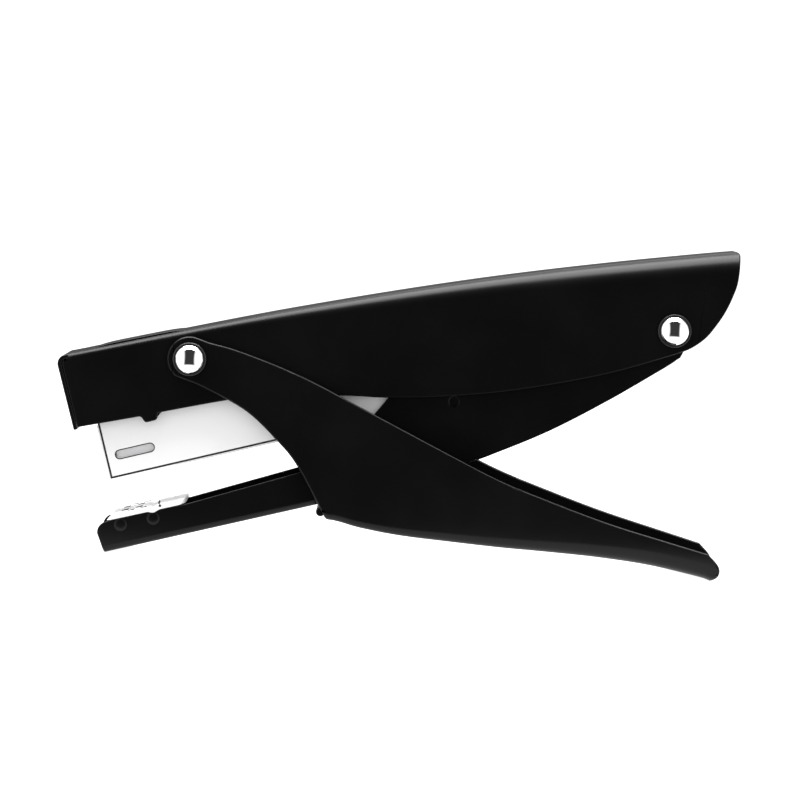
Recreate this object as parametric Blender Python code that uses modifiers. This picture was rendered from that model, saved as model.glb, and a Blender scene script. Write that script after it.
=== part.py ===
"""Hand-grip (plier) stapler: a pressed-steel cover, a lower handle, an anvil arm and a magazine.

Metres, +Z up. X runs along the stapler with the nose at -X and the tail at +X, Y runs across it.
The stapler stands on the front of its arm and the tip of its handle, open, at rest.
The origin is below the middle of the stapler, on the surface that it stands on.
"""

import math

import bmesh
import bpy
from mathutils import Matrix, Vector

MM = 0.001

# Pivots (x, z): the handle turns on the front one, the arm and the magazine on the rear one.
FRONT_PIVOT = (-49.5 * MM, 47.9 * MM)
REAR_PIVOT = (66.15 * MM, 60.05 * MM)

# Widths are half-widths of the outer faces, from the inside of the stapler to its outside.
MAGAZINE_HALF = 7.3 * MM
ARM_HALF = 8.8 * MM
COVER_HALF = 10.25 * MM
EAR_HALF = 11.65 * MM
MAGAZINE_SHEET = 0.8 * MM
ARM_SHEET = 1.1 * MM
COVER_SHEET = 1.0 * MM
HANDLE_SHEET = 1.1 * MM
GAP = 0.15 * MM
CUTTER_WIDTH = 60.0 * MM

# Rivets
SHANK_RADIUS = 2.0 * MM
HOLE_RADIUS = 2.15 * MM
HEAD_RADIUS = 3.3 * MM
HEAD_HEIGHT = 1.8 * MM
HEAD_RIM = 0.25 * MM
RIVET_BORE_RADIUS = 1.25 * MM
RIVET_BORE_DEPTH = 9.0 * MM
RIVET_END_ROOM = 0.3 * MM
PIN_RADIUS = 1.0 * MM
PIN_END_ROOM = 0.6 * MM
WASHER_RADIUS = 4.0 * MM
WASHER_THICKNESS = 0.7 * MM
SLEEVE_RADIUS = 2.8 * MM

# Magazine: its own frame starts at the lower front corner and climbs to the rear.
MAGAZINE_CORNER = (-67.8 * MM, 17.25 * MM)
MAGAZINE_TILT = math.radians(15.73)
MAGAZINE_FLOOR_END = 127.0 * MM
STAPLE_HALF = 6.4 * MM
RAIL_FRONT = 3.0 * MM
RAIL_REAR = 117.0 * MM
RAIL_HALF = 5.5 * MM
RAIL_TOP = 6.6 * MM
RAIL_SHEET = 0.7 * MM
STOP_FRONT = RAIL_REAR + 0.3 * MM
STOP_REAR = RAIL_REAR + 1.5 * MM
STOP_TOP = 12.4 * MM
STOP_HALF = 6.2 * MM
PUSHER_LENGTH = 16.0 * MM
PUSHER_HALF = 6.35 * MM
PUSHER_TOP = 12.6 * MM
PUSHER_BACK = 6.9 * MM
ROD_FRONT = 5.0 * MM
ROD_UP = 10.0 * MM
ROD_RADIUS = 1.0 * MM
ROD_ROOM = 0.3 * MM

# Springs: wire radii, the follower spring's coil and turns, and the return springs' coils and pitch.
FOLLOWER_WIRE = 0.3 * MM
FOLLOWER_COIL = 2.1 * MM
FOLLOWER_TURNS = 18
FOLLOWER_STEPS = 10
RETURN_WIRE = 0.55 * MM
RETURN_COIL = SLEEVE_RADIUS + 0.3 * MM + RETURN_WIRE
RETURN_PITCH = 1.3 * MM
RETURN_STEPS = 12
RETURN_START = 5.2 * MM

# Driver: the blade and the block that holds it, in the magazine's frame.
BLADE_FRONT = 1.7 * MM
BLADE_REAR = 2.3 * MM
BLADE_HALF = 6.2 * MM
BLADE_LOW = 7.6 * MM
BLADE_TOP = 28.0 * MM
DRIVER_BLOCK_WIDTH = 17.0 * MM

CYLINDER_STEPS = 32
ROD_STEPS = 16
BEND_STEPS = 4
WIRE_RESOLUTION = 1
WELD = 0.002 * MM
TURNING_WELD = 0.01 * MM
SMOOTH_ANGLE = math.radians(35.0)


def clear_scene():
    for obj in list(bpy.data.objects):
        bpy.data.objects.remove(obj, do_unlink=True)


def make_collection(name):
    collection = bpy.data.collections.new(name)
    bpy.context.scene.collection.children.link(collection)
    return collection


def make_material(name, tone, roughness, metallic):
    material = bpy.data.materials.new(name)
    material.use_nodes = True
    shader = material.node_tree.nodes["Principled BSDF"]
    shader.inputs["Base Color"].default_value = (tone, tone, tone, 1.0)
    shader.inputs["Roughness"].default_value = roughness
    shader.inputs["Metallic"].default_value = metallic
    return material


# ---------------------------------------------------------------- outlines (x, z) and curves


def arc(centre, radius, start_deg, end_deg, steps):
    """Points on a circle, from start to end, in degrees from +X towards +Z."""
    points = []
    for i in range(steps + 1):
        angle = math.radians(start_deg + (end_deg - start_deg) * i / steps)
        points.append((centre[0] + radius * math.cos(angle), centre[1] + radius * math.sin(angle)))
    return points


def circle(centre, radius):
    return arc(centre, radius, 0.0, 360.0, CYLINDER_STEPS)[:-1]


def smooth(points, steps):
    """A Catmull-Rom curve through the points, ends included."""
    ends = [points[0], *points, points[-1]]
    curve = []
    for a, b, c, d in zip(ends, ends[1:], ends[2:], ends[3:]):
        for i in range(steps):
            t = i / steps
            curve.append(tuple(
                0.5 * (2 * b[k] + (c[k] - a[k]) * t + (2 * a[k] - 5 * b[k] + 4 * c[k] - d[k]) * t * t
                       + (3 * b[k] - a[k] - 3 * c[k] + d[k]) * t ** 3)
                for k in range(2)
            ))
    curve.append(tuple(points[-1]))
    return curve


def in_mm(points):
    return [(x * MM, z * MM) for x, z in points]


def interpolate(x, table):
    """Straight-line value at x from a short table of (x, value)."""
    if x <= table[0][0]:
        return table[0][1]
    for (x0, v0), (x1, v1) in zip(table, table[1:]):
        if x <= x1:
            return v0 + (v1 - v0) * (x - x0) / (x1 - x0)
    return table[-1][1]


def spaced(start, end, count):
    return [start + (end - start) * i / count for i in range(count + 1)]


# ---------------------------------------------------------------- solids


def finish(name, mesh, collection, material=None):
    obj = bpy.data.objects.new(name, mesh)
    collection.objects.link(obj)
    if material is not None:
        mesh.materials.append(material)
    else:
        obj.display_type = "WIRE"
        obj.hide_render = True
    return obj


def plate(name, outlines, thickness, collection, material=None):
    """A flat piece: closed (x, z) outlines filled and given a thickness across Y; inner ones are holes."""
    curve = bpy.data.curves.new(name, "CURVE")
    curve.dimensions = "2D"
    curve.fill_mode = "BOTH"
    curve.extrude = thickness / 2
    for outline in outlines:
        spline = curve.splines.new("POLY")
        spline.points.add(len(outline) - 1)
        for point, (x, z) in zip(spline.points, outline):
            point.co = (x, z, 0.0, 1.0)
        spline.use_cyclic_u = True
    guide = bpy.data.objects.new(name + "_guide", curve)
    bpy.context.scene.collection.objects.link(guide)
    bpy.context.view_layer.update()
    evaluated = guide.evaluated_get(bpy.context.evaluated_depsgraph_get())
    mesh = bpy.data.meshes.new_from_object(evaluated)
    bpy.data.objects.remove(guide, do_unlink=True)
    bm = bmesh.new()
    bm.from_mesh(mesh)
    bmesh.ops.remove_doubles(bm, verts=bm.verts, dist=WELD)
    bmesh.ops.rotate(bm, verts=bm.verts, cent=(0, 0, 0), matrix=Matrix.Rotation(math.pi / 2, 3, "X"))
    bmesh.ops.recalc_face_normals(bm, faces=bm.faces)
    bm.to_mesh(mesh)
    bm.free()
    return finish(name, mesh, collection, material)


def round_bar(name, start, end, radius, steps, collection, material=None):
    """A plain round bar between two points."""
    line = Vector(end) - Vector(start)
    bm = bmesh.new()
    bmesh.ops.create_cone(bm, cap_ends=True, segments=steps, radius1=radius, radius2=radius, depth=line.length)
    turn = line.to_track_quat("Z", "Y").to_matrix().to_4x4()
    bmesh.ops.transform(bm, matrix=Matrix.Translation((Vector(start) + Vector(end)) / 2) @ turn, verts=bm.verts)
    mesh = bpy.data.meshes.new(name)
    bm.to_mesh(mesh)
    bm.free()
    mesh.shade_smooth()
    mesh.set_sharp_from_angle(angle=SMOOTH_ANGLE)
    return finish(name, mesh, collection, material)


def box(name, low, high, collection, material=None):
    bm = bmesh.new()
    bmesh.ops.create_cube(bm, size=1.0)
    size = Vector(high) - Vector(low)
    bmesh.ops.scale(bm, verts=bm.verts, vec=size)
    bmesh.ops.translate(bm, verts=bm.verts, vec=(Vector(high) + Vector(low)) / 2)
    mesh = bpy.data.meshes.new(name)
    bm.to_mesh(mesh)
    bm.free()
    return finish(name, mesh, collection, material)


def turned(name, profile, centre, y, outward, collection, material, closed=False):
    """A turned piece about an axis across the stapler; outward is the way of the profile's +Z."""
    mesh = bpy.data.meshes.new(name)
    edges = [(i, i + 1) for i in range(len(profile) - 1)]
    if closed:
        edges.append((len(profile) - 1, 0))
    mesh.from_pydata([(r, 0.0, h) for r, h in profile], edges, [])
    obj = finish(name, mesh, collection, material)
    screw = obj.modifiers.new("turn", "SCREW")
    screw.axis = "Z"
    screw.steps = CYLINDER_STEPS
    screw.render_steps = CYLINDER_STEPS
    screw.use_merge_vertices = True
    screw.use_smooth_shade = True
    screw.merge_threshold = TURNING_WELD
    obj.location = (centre[0], y, centre[1])
    obj.rotation_euler = (-outward * math.pi / 2, 0.0, 0.0)
    return obj


def ring(name, inner, outer, centre, y_low, y_high, collection, material):
    """A washer or sleeve: a tube across the stapler."""
    half = (y_high - y_low) / 2
    profile = [(inner, half), (outer, half), (outer, -half), (inner, -half)]
    return turned(name, profile, centre, (y_low + y_high) / 2, 1, collection, material, closed=True)


def section(half, radius, height, tilt):
    """Half of a U section as (y, h), from the middle of the web up one wall; h is the way the walls go."""
    points = [(0.0, 0.0)]
    for i in range(BEND_STEPS + 1):
        angle = -math.pi / 2 + (math.pi / 2 - tilt) * i / BEND_STEPS
        points.append((half - radius + radius * math.cos(angle), radius + radius * math.sin(angle)))
    rise = height - points[-1][1]
    points.append((points[-1][0] + rise * math.tan(tilt), height))
    return points


def channel(name, stations, way, thickness, collection, material):
    """A bent-sheet channel lofted through U sections.

    Each station is (x, z of the web's outer face, half-width, bend radius, wall height, wall tilt).
    way is 1 for walls that go up from the web and -1 for walls that go down.
    """
    bm = bmesh.new()
    rows = []
    for x, z, half, radius, height, tilt in stations:
        side = section(half, radius, height, tilt)
        points = [(-y, h) for y, h in reversed(side)] + side[1:]
        rows.append([bm.verts.new((x, y, z + way * h)) for y, h in points])
    for row, after in zip(rows, rows[1:]):
        for a, b, c, d in zip(row, row[1:], after[1:], after):
            bm.faces.new((a, b, c, d) if way > 0 else (d, c, b, a))
    bm.normal_update()
    mesh = bpy.data.meshes.new(name)
    bm.to_mesh(mesh)
    bm.free()
    obj = finish(name, mesh, collection, material)
    solidify = obj.modifiers.new("sheet", "SOLIDIFY")
    solidify.thickness = thickness
    solidify.offset = -1.0
    solidify.use_even_offset = True
    return obj


def boolean(obj, cutter, operation="DIFFERENCE", solver="EXACT"):
    modifier = obj.modifiers.new(cutter.name, "BOOLEAN")
    modifier.object = cutter
    modifier.operation = operation
    modifier.solver = solver


def coil_spring(name, points, wire_radius, collection, material):
    curve = bpy.data.curves.new(name, "CURVE")
    curve.dimensions = "3D"
    curve.bevel_depth = wire_radius
    curve.bevel_resolution = WIRE_RESOLUTION
    curve.use_fill_caps = True
    spline = curve.splines.new("POLY")
    spline.points.add(len(points) - 1)
    for point, position in zip(spline.points, points):
        point.co = (*position, 1.0)
    curve.materials.append(material)
    obj = bpy.data.objects.new(name, curve)
    collection.objects.link(obj)
    return obj


# ---------------------------------------------------------------- cover (upper handle)

COVER_START = -82.5 * MM
COVER_END = 82.5 * MM
COVER_STATIONS = 22
COVER_TOP = in_mm([(-82.0, 46.85), (-62.0, 51.8), (-40.6, 57.1), (-24.0, 61.0), (0.0, 66.2),
                   (23.6, 70.8), (47.4, 74.8), (71.2, 78.3), (82.0, 79.7)])
COVER_BEND = in_mm([(-82.0, 1.2), (-50.0, 1.6), (-10.0, 3.0), (60.0, 5.0)])
COVER_DEPTH = 36.0 * MM
ABOVE_COVER = 84.0 * MM
NOSE_FOOT = (-76.65 * MM, 29.4 * MM)
NOSE_TOP = (-81.6 * MM, 46.95 * MM)
NOSE_CORNER = (-0.15 * MM, 0.45 * MM)
NOSE_CLIMB_SPAN = (-78.0 * MM, -70.0 * MM)
NOSE_RADIUS = 2.2 * MM
NOSE_TURN_IN = 6.0 * MM
NOSE_INSET = 0.04 * MM
NOSE_LAP = 0.5 * MM
PAD_FRONT = -74.0 * MM
PAD_REAR = -50.2 * MM
PAD_HALF = 6.0 * MM
PAD_RISE = 0.45 * MM
PAD_ROOT = -0.4 * MM
PAD_TAPER = 1.5 * MM


def cover_top(x):
    return interpolate(x, smooth(COVER_TOP, 6))


def nose_lines():
    """The flap's directions, its bend centre and its bend's start and end angles, in degrees."""
    lean = math.atan2(NOSE_FOOT[0] - NOSE_TOP[0], NOSE_TOP[1] - NOSE_FOOT[1])
    near, far = NOSE_CLIMB_SPAN
    climb = math.atan2(cover_top(far) - cover_top(near), far - near)
    along_top = Vector((math.cos(climb), math.sin(climb)))
    under = Vector((math.sin(climb), -math.cos(climb)))
    into = Vector((math.cos(lean), math.sin(lean)))
    reach = NOSE_RADIUS * math.tan((math.pi / 2 - lean + climb) / 2)
    start = Vector(NOSE_TOP) + under * NOSE_INSET + along_top * reach
    centre = start + under * NOSE_RADIUS
    return along_top, under, into, start, centre, math.degrees(climb) + 90.0, 180.0 + math.degrees(lean)


def cover_outline():
    """Side view of the cover's walls: lower edge, tail, above the top, and inside the front flap."""
    _, _, into, start, centre, begin, end = nose_lines()
    wall_front = [tuple(Vector(NOSE_FOOT) + into * NOSE_LAP + Vector(NOSE_CORNER))]
    tab = in_mm([(-61.6, 33.3), (-60.7, 32.9), (-60.3, 32.3), (-56.7, 33.15), (-56.7, 34.55)])
    lower = smooth(in_mm([(-56.7, 34.55), (-40.0, 38.4), (-28.0, 40.4), (-11.0, 40.8), (-1.6, 40.8),
                          (14.4, 42.0), (30.8, 44.45), (50.5, 49.0), (66.6, 54.4)]), 4)
    tail = smooth(in_mm([(66.6, 54.4), (73.7, 58.6), (78.2, 65.2), (80.8, 72.6), (81.2, 78.7)]), 5)
    above = [(80.65 * MM, 79.5 * MM), (80.0 * MM, ABOVE_COVER)]
    nose = [(start.x, ABOVE_COVER)] + arc(centre, NOSE_RADIUS - NOSE_LAP, begin, end, 6)
    return wall_front + tab + lower[1:] + tail[1:] + above + nose


def nose_outline():
    """The front flap, bent down from the top: outer line, foot and inner line."""
    along_top, under, into, start, centre, begin, end = nose_lines()
    outer = arc(centre, NOSE_RADIUS, begin, end, 6)
    inner = arc(centre, NOSE_RADIUS - COVER_SHEET, end, begin, 6)
    top_end = start + along_top * NOSE_TURN_IN
    foot = Vector(NOSE_FOOT)
    return ([tuple(top_end)] + outer + [tuple(foot), tuple(foot + into * COVER_SHEET)] + inner
            + [tuple(top_end + under * COVER_SHEET)])


def build_cover(parts, cutters, paint):
    stations = [(x, cover_top(x), COVER_HALF, interpolate(x, COVER_BEND), COVER_DEPTH, 0.0)
                for x in spaced(COVER_START, COVER_END, COVER_STATIONS)]
    cover = channel("cover_shell", stations, -1, COVER_SHEET, parts, paint)
    side_view = [cover_outline(), circle(FRONT_PIVOT, HOLE_RADIUS), circle(REAR_PIVOT, HOLE_RADIUS)]
    boolean(cover, plate("cover_side_view", side_view, CUTTER_WIDTH, cutters), "INTERSECT")
    flap = plate("nose_flap", [nose_outline()], 2 * (COVER_HALF - NOSE_INSET), cutters)
    boolean(cover, flap, "UNION", "MANIFOLD")
    climb = (cover_top(PAD_REAR) - cover_top(PAD_FRONT)) / (PAD_REAR - PAD_FRONT)
    base = cover_top(PAD_FRONT)
    pad_line = [(PAD_FRONT, PAD_ROOT), (PAD_FRONT + PAD_TAPER, PAD_RISE), (PAD_REAR - PAD_TAPER, PAD_RISE),
                (PAD_REAR, PAD_ROOT)]
    pad = [(x, base + (x - PAD_FRONT) * climb + rise) for x, rise in pad_line]
    boolean(cover, plate("top_pad", [pad], 2 * PAD_HALF, cutters), "UNION", "MANIFOLD")


# ---------------------------------------------------------------- lower handle

HANDLE_FRONT_STATIONS = (-58.0, -40.0, -26.0)
HANDLE_START = -20.0
HANDLE_END = 80.8
HANDLE_STATIONS = 16
HANDLE_WEB = ((-60.0, 8.0), (-15.2, 10.8), (-7.1, 9.2), (2.6, 7.8), (14.6, 6.9), (26.6, 6.1), (38.7, 5.55),
              (50.7, 4.8), (62.8, 3.4), (74.9, 1.0), (78.1, 0.0), (81.0, -1.1))
HANDLE_HALF = ((-22.0, 11.65), (20.0, 14.0), (50.0, 15.0), (67.0, 13.8), (81.0, 12.0))
HANDLE_BEND = ((-22.0, 1.7), (30.0, 3.4), (60.0, 4.6), (81.0, 4.6))
HANDLE_TILT = ((-22.0, 0.0), (20.0, 8.0), (50.0, 8.0), (81.0, 5.0))
HANDLE_WALL = ((-60.0, 48.0), (-20.0, 38.0), (10.0, 26.0), (30.0, 18.0), (81.0, 10.0))
EAR_RADIUS = 5.4 * MM
EAR_START_DEG = 76.0
EAR_END_DEG = 232.0
BELOW_HANDLE = -3.0
LIP_CENTRE = (-16.6 * MM, 12.6 * MM)
LIP_RADIUS = 1.1 * MM
LIP_INSET = 0.6 * MM


def handle_outline():
    ear = arc(FRONT_PIVOT, EAR_RADIUS, EAR_START_DEG, EAR_END_DEG, 12)
    front = smooth(in_mm([(-50.0, 42.7), (-45.6, 41.1), (-35.5, 36.05), (-27.75, 29.25), (-22.5, 23.2),
                          (-15.1, 10.6)]), 4)
    below = in_mm([(-15.1, BELOW_HANDLE), (77.4, BELOW_HANDLE)])
    tip = smooth(in_mm([(78.1, 0.0), (79.5, 1.2), (80.0, 2.9), (79.2, 4.6), (76.9, 6.9)]), 4)
    top = smooth(in_mm([(76.9, 6.9), (67.6, 9.4), (53.0, 13.35), (38.3, 18.15), (26.1, 22.6), (11.4, 29.3),
                        (-4.8, 36.9), (-22.3, 44.95), (-36.9, 50.15), (-45.0, 52.1)]), 3)
    return ear + front + below + tip + top[1:]


def build_handle(parts, cutters, paint):
    stations = []
    for x in [*HANDLE_FRONT_STATIONS, *spaced(HANDLE_START, HANDLE_END, HANDLE_STATIONS)]:
        stations.append((x * MM, interpolate(x, HANDLE_WEB) * MM, interpolate(x, HANDLE_HALF) * MM,
                         interpolate(x, HANDLE_BEND) * MM, interpolate(x, HANDLE_WALL) * MM,
                         math.radians(interpolate(x, HANDLE_TILT))))
    handle = channel("lower_handle", stations, 1, HANDLE_SHEET, parts, paint)
    side_view = [handle_outline(), circle(FRONT_PIVOT, HOLE_RADIUS)]
    boolean(handle, plate("handle_side_view", side_view, CUTTER_WIDTH, cutters), "INTERSECT")
    lip_half = EAR_HALF - LIP_INSET
    lip_start = (LIP_CENTRE[0], -lip_half, LIP_CENTRE[1])
    lip_end = (LIP_CENTRE[0], lip_half, LIP_CENTRE[1])
    boolean(handle, round_bar("handle_lip", lip_start, lip_end, LIP_RADIUS, CYLINDER_STEPS, cutters), "UNION")


# ---------------------------------------------------------------- anvil arm and anvil

ARM_FRONT = (-68.3 * MM, 0.0 * MM)
ARM_SLOPE = math.tan(math.radians(15.4))
ARM_BEND = 1.7 * MM
ARM_START = -71.0 * MM
ARM_WEB_STRAIGHT_TO = -22.0 * MM
ARM_WEB_CURVE = 0.55
ARM_WEB_END = 16.0 * MM
ARM_CURVE_END = 20.0 * MM
ARM_CURVE_STATIONS = 6
ARM_LAST_STATION = (74.0 * MM, 20.0 * MM)
ARM_FRONT_WALL = 26.0 * MM
ARM_REAR_WALL = 52.0 * MM
ARM_REAR_WALL_FROM = -10.0 * MM
WALL_TOP_FRONT = (-68.2 * MM, 7.58 * MM)
WALL_TOP_SLOPE = 0.269
WALL_TOP_BREAK = -49.0 * MM
WALL_TOP_REAR_SLOPE = 0.33
ARM_NOSE_SET_BACK = 0.7 * MM
ARM_NOSE_UP = 5.0 * MM
ARM_NOSE_RADIUS = 2.6 * MM
ARM_TAIL_RADIUS = 6.3 * MM
ARM_TAIL_SHIFT = 2.0 * MM
ANVIL_FRONT = -68.0 * MM
ANVIL_REAR = -49.2 * MM
ANVIL_THICKNESS = 1.2 * MM
ANVIL_HALF = 8.9 * MM
POCKET_AT = -64.0 * MM
POCKET_ACROSS = 3.4 * MM
POCKET_RADIUS = 3.4 * MM
POCKET_HALF_WIDTH = 0.9 * MM
POCKET_DEPTH = 0.5 * MM
SPRING_HOLE = (14.25 * MM, 40.5 * MM)
SPRING_HOLE_RADIUS = 1.25 * MM


def arm_web(x):
    """Height of the arm's web: straight at the front, then bending up a little."""
    straight = ARM_FRONT[1] + (x - ARM_FRONT[0]) * ARM_SLOPE
    past = max(0.0, x - ARM_WEB_STRAIGHT_TO)
    return straight + ARM_WEB_CURVE * past * past


def arm_wall_top(x):
    """Height of the arm walls' upper edge in front of the cover: under the anvil, then a steeper rise."""
    front_x, front_z = WALL_TOP_FRONT
    under_anvil = front_z + (min(x, WALL_TOP_BREAK) - front_x) * WALL_TOP_SLOPE
    return under_anvil + max(0.0, x - WALL_TOP_BREAK) * WALL_TOP_REAR_SLOPE


def arm_outline():
    front = arc((ARM_FRONT[0] + ARM_NOSE_SET_BACK, ARM_NOSE_UP), ARM_NOSE_RADIUS, 105.0, 188.0, 5)
    bottom = [(ARM_FRONT[0], 0.0), (-40.0 * MM, -6.0 * MM), (ARM_WEB_END, 17.0 * MM)]
    rear_edge = smooth(in_mm([(17.0, 25.3), (23.2, 27.8), (37.3, 34.4), (51.3, 42.5), (64.1, 50.8),
                              (67.4, 53.2)]), 3)
    around = arc((REAR_PIVOT[0] - ARM_TAIL_SHIFT, REAR_PIVOT[1]), ARM_TAIL_RADIUS, -20.0, 100.0, 8)
    crown = in_mm([(30.0, 58.5), (4.5, 48.6)])
    step = in_mm([(-1.45, 40.9), (-10.4, 29.2)])
    shelf = [(x, arm_wall_top(x)) for x in (-15.0 * MM, WALL_TOP_BREAK, -66.0 * MM)]
    return front + bottom + rear_edge + [(68.0 * MM, 53.6 * MM)] + around + crown + step + shelf


def build_arm(parts, cutters, paint):
    stations = []
    for x in [ARM_START, *spaced(ARM_WEB_STRAIGHT_TO, ARM_CURVE_END, ARM_CURVE_STATIONS)]:
        wall = ARM_FRONT_WALL if x < ARM_REAR_WALL_FROM else ARM_REAR_WALL
        stations.append((x, arm_web(x), ARM_HALF, ARM_BEND, wall, 0.0))
    stations.append((*ARM_LAST_STATION, ARM_HALF, ARM_BEND, ARM_REAR_WALL, 0.0))
    arm = channel("anvil_arm", stations, 1, ARM_SHEET, parts, paint)
    side_view = [arm_outline(), circle(REAR_PIVOT, HOLE_RADIUS), circle(SPRING_HOLE, SPRING_HOLE_RADIUS)]
    boolean(arm, plate("arm_side_view", side_view, CUTTER_WIDTH, cutters), "INTERSECT")


def build_anvil(parts, cutters, nickel):
    """The bright plate on the arm's walls, with two pockets that turn the staple's legs."""
    climb = math.atan(WALL_TOP_SLOPE)
    normal = Vector((-math.sin(climb), math.cos(climb)))
    low = [(x, arm_wall_top(x) + GAP) for x in (ANVIL_FRONT, ANVIL_REAR)]
    high = [tuple(Vector(p) + normal * ANVIL_THICKNESS) for p in reversed(low)]
    anvil = plate("anvil_plate", [low + high], 2 * ANVIL_HALF, parts, nickel)
    pocket_top = arm_wall_top(POCKET_AT) + GAP + ANVIL_THICKNESS / math.cos(climb)
    height = pocket_top + POCKET_RADIUS - POCKET_DEPTH
    along = Vector((math.cos(climb), 0.0, math.sin(climb))) * POCKET_HALF_WIDTH
    for side, label in ((-1, "near"), (1, "far")):
        middle = Vector((POCKET_AT, side * POCKET_ACROSS, height))
        name = f"anvil_pocket_{label}"
        boolean(anvil, round_bar(name, middle - along, middle + along, POCKET_RADIUS, CYLINDER_STEPS, cutters))


# ---------------------------------------------------------------- magazine and what it carries


def magazine_frame():
    """Carries pieces drawn in the magazine's own (along, across, up) frame to their places."""
    place = Matrix.Translation((MAGAZINE_CORNER[0], 0.0, MAGAZINE_CORNER[1]))
    return place @ Matrix.Rotation(-MAGAZINE_TILT, 4, "Y")


def from_magazine(along, up):
    return magazine_frame() @ Vector((along, 0.0, up))


def magazine_axle():
    """The rear pivot in the magazine's own frame."""
    axle = magazine_frame().inverted() @ Vector((REAR_PIVOT[0], 0.0, REAR_PIVOT[1]))
    return (axle.x, axle.z)


def magazine_side():
    """Side view of the magazine's walls in its own frame."""
    ear = arc(magazine_axle(), 5.0 * MM, -62.0, 90.0, 8)
    rear_low = [(MAGAZINE_FLOOR_END - MM, 0.0), (MAGAZINE_FLOOR_END, 1.2 * MM)]
    top = in_mm([(127.0, 10.4), (104.0, 14.4), (0.8, 14.4)])
    front = in_mm([(0.0, 13.6), (0.0, 0.0)])
    return front + rear_low + ear + top


def slot_outline(centre, half_length, radius):
    left = arc((centre[0] - half_length + radius, centre[1]), radius, 90.0, 270.0, 8)
    right = arc((centre[0] + half_length - radius, centre[1]), radius, -90.0, 90.0, 8)
    return left + right


def put_in_magazine(obj):
    """Moves a piece drawn in the magazine's frame, and its cutters, to their places."""
    obj.matrix_world = magazine_frame()
    for modifier in obj.modifiers:
        if modifier.type == "BOOLEAN":
            modifier.object.matrix_world = magazine_frame()


def build_magazine(parts, cutters, nickel):
    stations = [(x * MM, 0.0, MAGAZINE_HALF, 1.0 * MM, 16.0 * MM, 0.0) for x in (-1.0, 30.0, 147.0)]
    magazine = channel("magazine_channel", stations, 1, MAGAZINE_SHEET, parts, nickel)
    window = slot_outline((7.65 * MM, 5.75 * MM), 4.95 * MM, 1.2 * MM)
    side_view = [magazine_side(), window, circle(magazine_axle(), HOLE_RADIUS)]
    boolean(magazine, plate("magazine_side_view", side_view, CUTTER_WIDTH, cutters), "INTERSECT")
    lap = MAGAZINE_SHEET / 2
    front_low = (0.0, -MAGAZINE_HALF + lap, lap)
    front_high = (MAGAZINE_SHEET, MAGAZINE_HALF - lap, 13.6 * MM)
    boolean(magazine, box("magazine_front_wall", front_low, front_high, cutters), "UNION")
    exit_low = (1.4 * MM, -STAPLE_HALF, -MM)
    exit_high = (2.7 * MM, STAPLE_HALF, 2 * MM)
    boolean(magazine, box("staple_exit", exit_low, exit_high, cutters))
    opening_low = (MAGAZINE_FLOOR_END, -STAPLE_HALF, -MM)
    opening_high = (150.0 * MM, STAPLE_HALF, 3 * MM)
    boolean(magazine, box("floor_rear_opening", opening_low, opening_high, cutters))
    put_in_magazine(magazine)


def build_rail(parts, steel):
    """The inverted channel that the staples sit over, its end stop and the follower's guide rod."""
    stations = [(x, RAIL_TOP, RAIL_HALF, 0.6 * MM, RAIL_TOP - MAGAZINE_SHEET - GAP, 0.0)
                for x in (RAIL_FRONT, RAIL_REAR)]
    put_in_magazine(channel("staple_rail", stations, -1, RAIL_SHEET, parts, steel))
    stop_low = (STOP_FRONT, -STOP_HALF, MAGAZINE_SHEET + GAP)
    stop_high = (STOP_REAR, STOP_HALF, STOP_TOP)
    put_in_magazine(box("rail_stop", stop_low, stop_high, parts, steel))
    rod_start = (ROD_FRONT, 0.0, ROD_UP)
    rod_end = (RAIL_REAR, 0.0, ROD_UP)
    put_in_magazine(round_bar("guide_rod", rod_start, rod_end, ROD_RADIUS, ROD_STEPS, parts, steel))


def build_pusher(parts, cutters, steel, spring_steel):
    """The follower: a saddle over the rail with a bored back, and the spring behind it on the rod."""
    pusher_low = (RAIL_FRONT + 0.1 * MM, -PUSHER_HALF, MAGAZINE_SHEET + 0.2 * MM)
    pusher_high = (RAIL_FRONT + PUSHER_LENGTH, PUSHER_HALF, PUSHER_TOP)
    pusher = box("pusher", pusher_low, pusher_high, parts, steel)
    beyond = RAIL_FRONT + PUSHER_LENGTH + 10.0 * MM
    rail_room = box("pusher_rail_room", (0.0, -RAIL_HALF - GAP, 0.0),
                    (beyond, RAIL_HALF + GAP, RAIL_TOP + GAP), cutters)
    back_room = box("pusher_back_room", (RAIL_FRONT + 0.1 * MM + PUSHER_BACK, -9.0 * MM, RAIL_TOP + MM),
                    (beyond, 9.0 * MM, 20.0 * MM), cutters)
    rod_room = round_bar("pusher_rod_room", (0.0, 0.0, ROD_UP), (beyond, 0.0, ROD_UP), ROD_RADIUS + ROD_ROOM,
                         ROD_STEPS, cutters)
    for cutter in (rail_room, back_room, rod_room):
        boolean(pusher, cutter)
    put_in_magazine(pusher)

    spring_front = RAIL_FRONT + 0.5 * MM + PUSHER_BACK
    spring_rear = STOP_FRONT - 0.6 * MM
    count = FOLLOWER_TURNS * FOLLOWER_STEPS
    points = []
    for i, along in enumerate(spaced(spring_front, spring_rear, count)):
        angle = 2 * math.pi * i / FOLLOWER_STEPS
        up = ROD_UP + FOLLOWER_COIL * math.sin(angle)
        points.append((along, FOLLOWER_COIL * math.cos(angle), up))
    put_in_magazine(coil_spring("pusher_spring", points, FOLLOWER_WIRE, parts, spring_steel))


# ---------------------------------------------------------------- rivets, washers, sleeves


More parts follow.
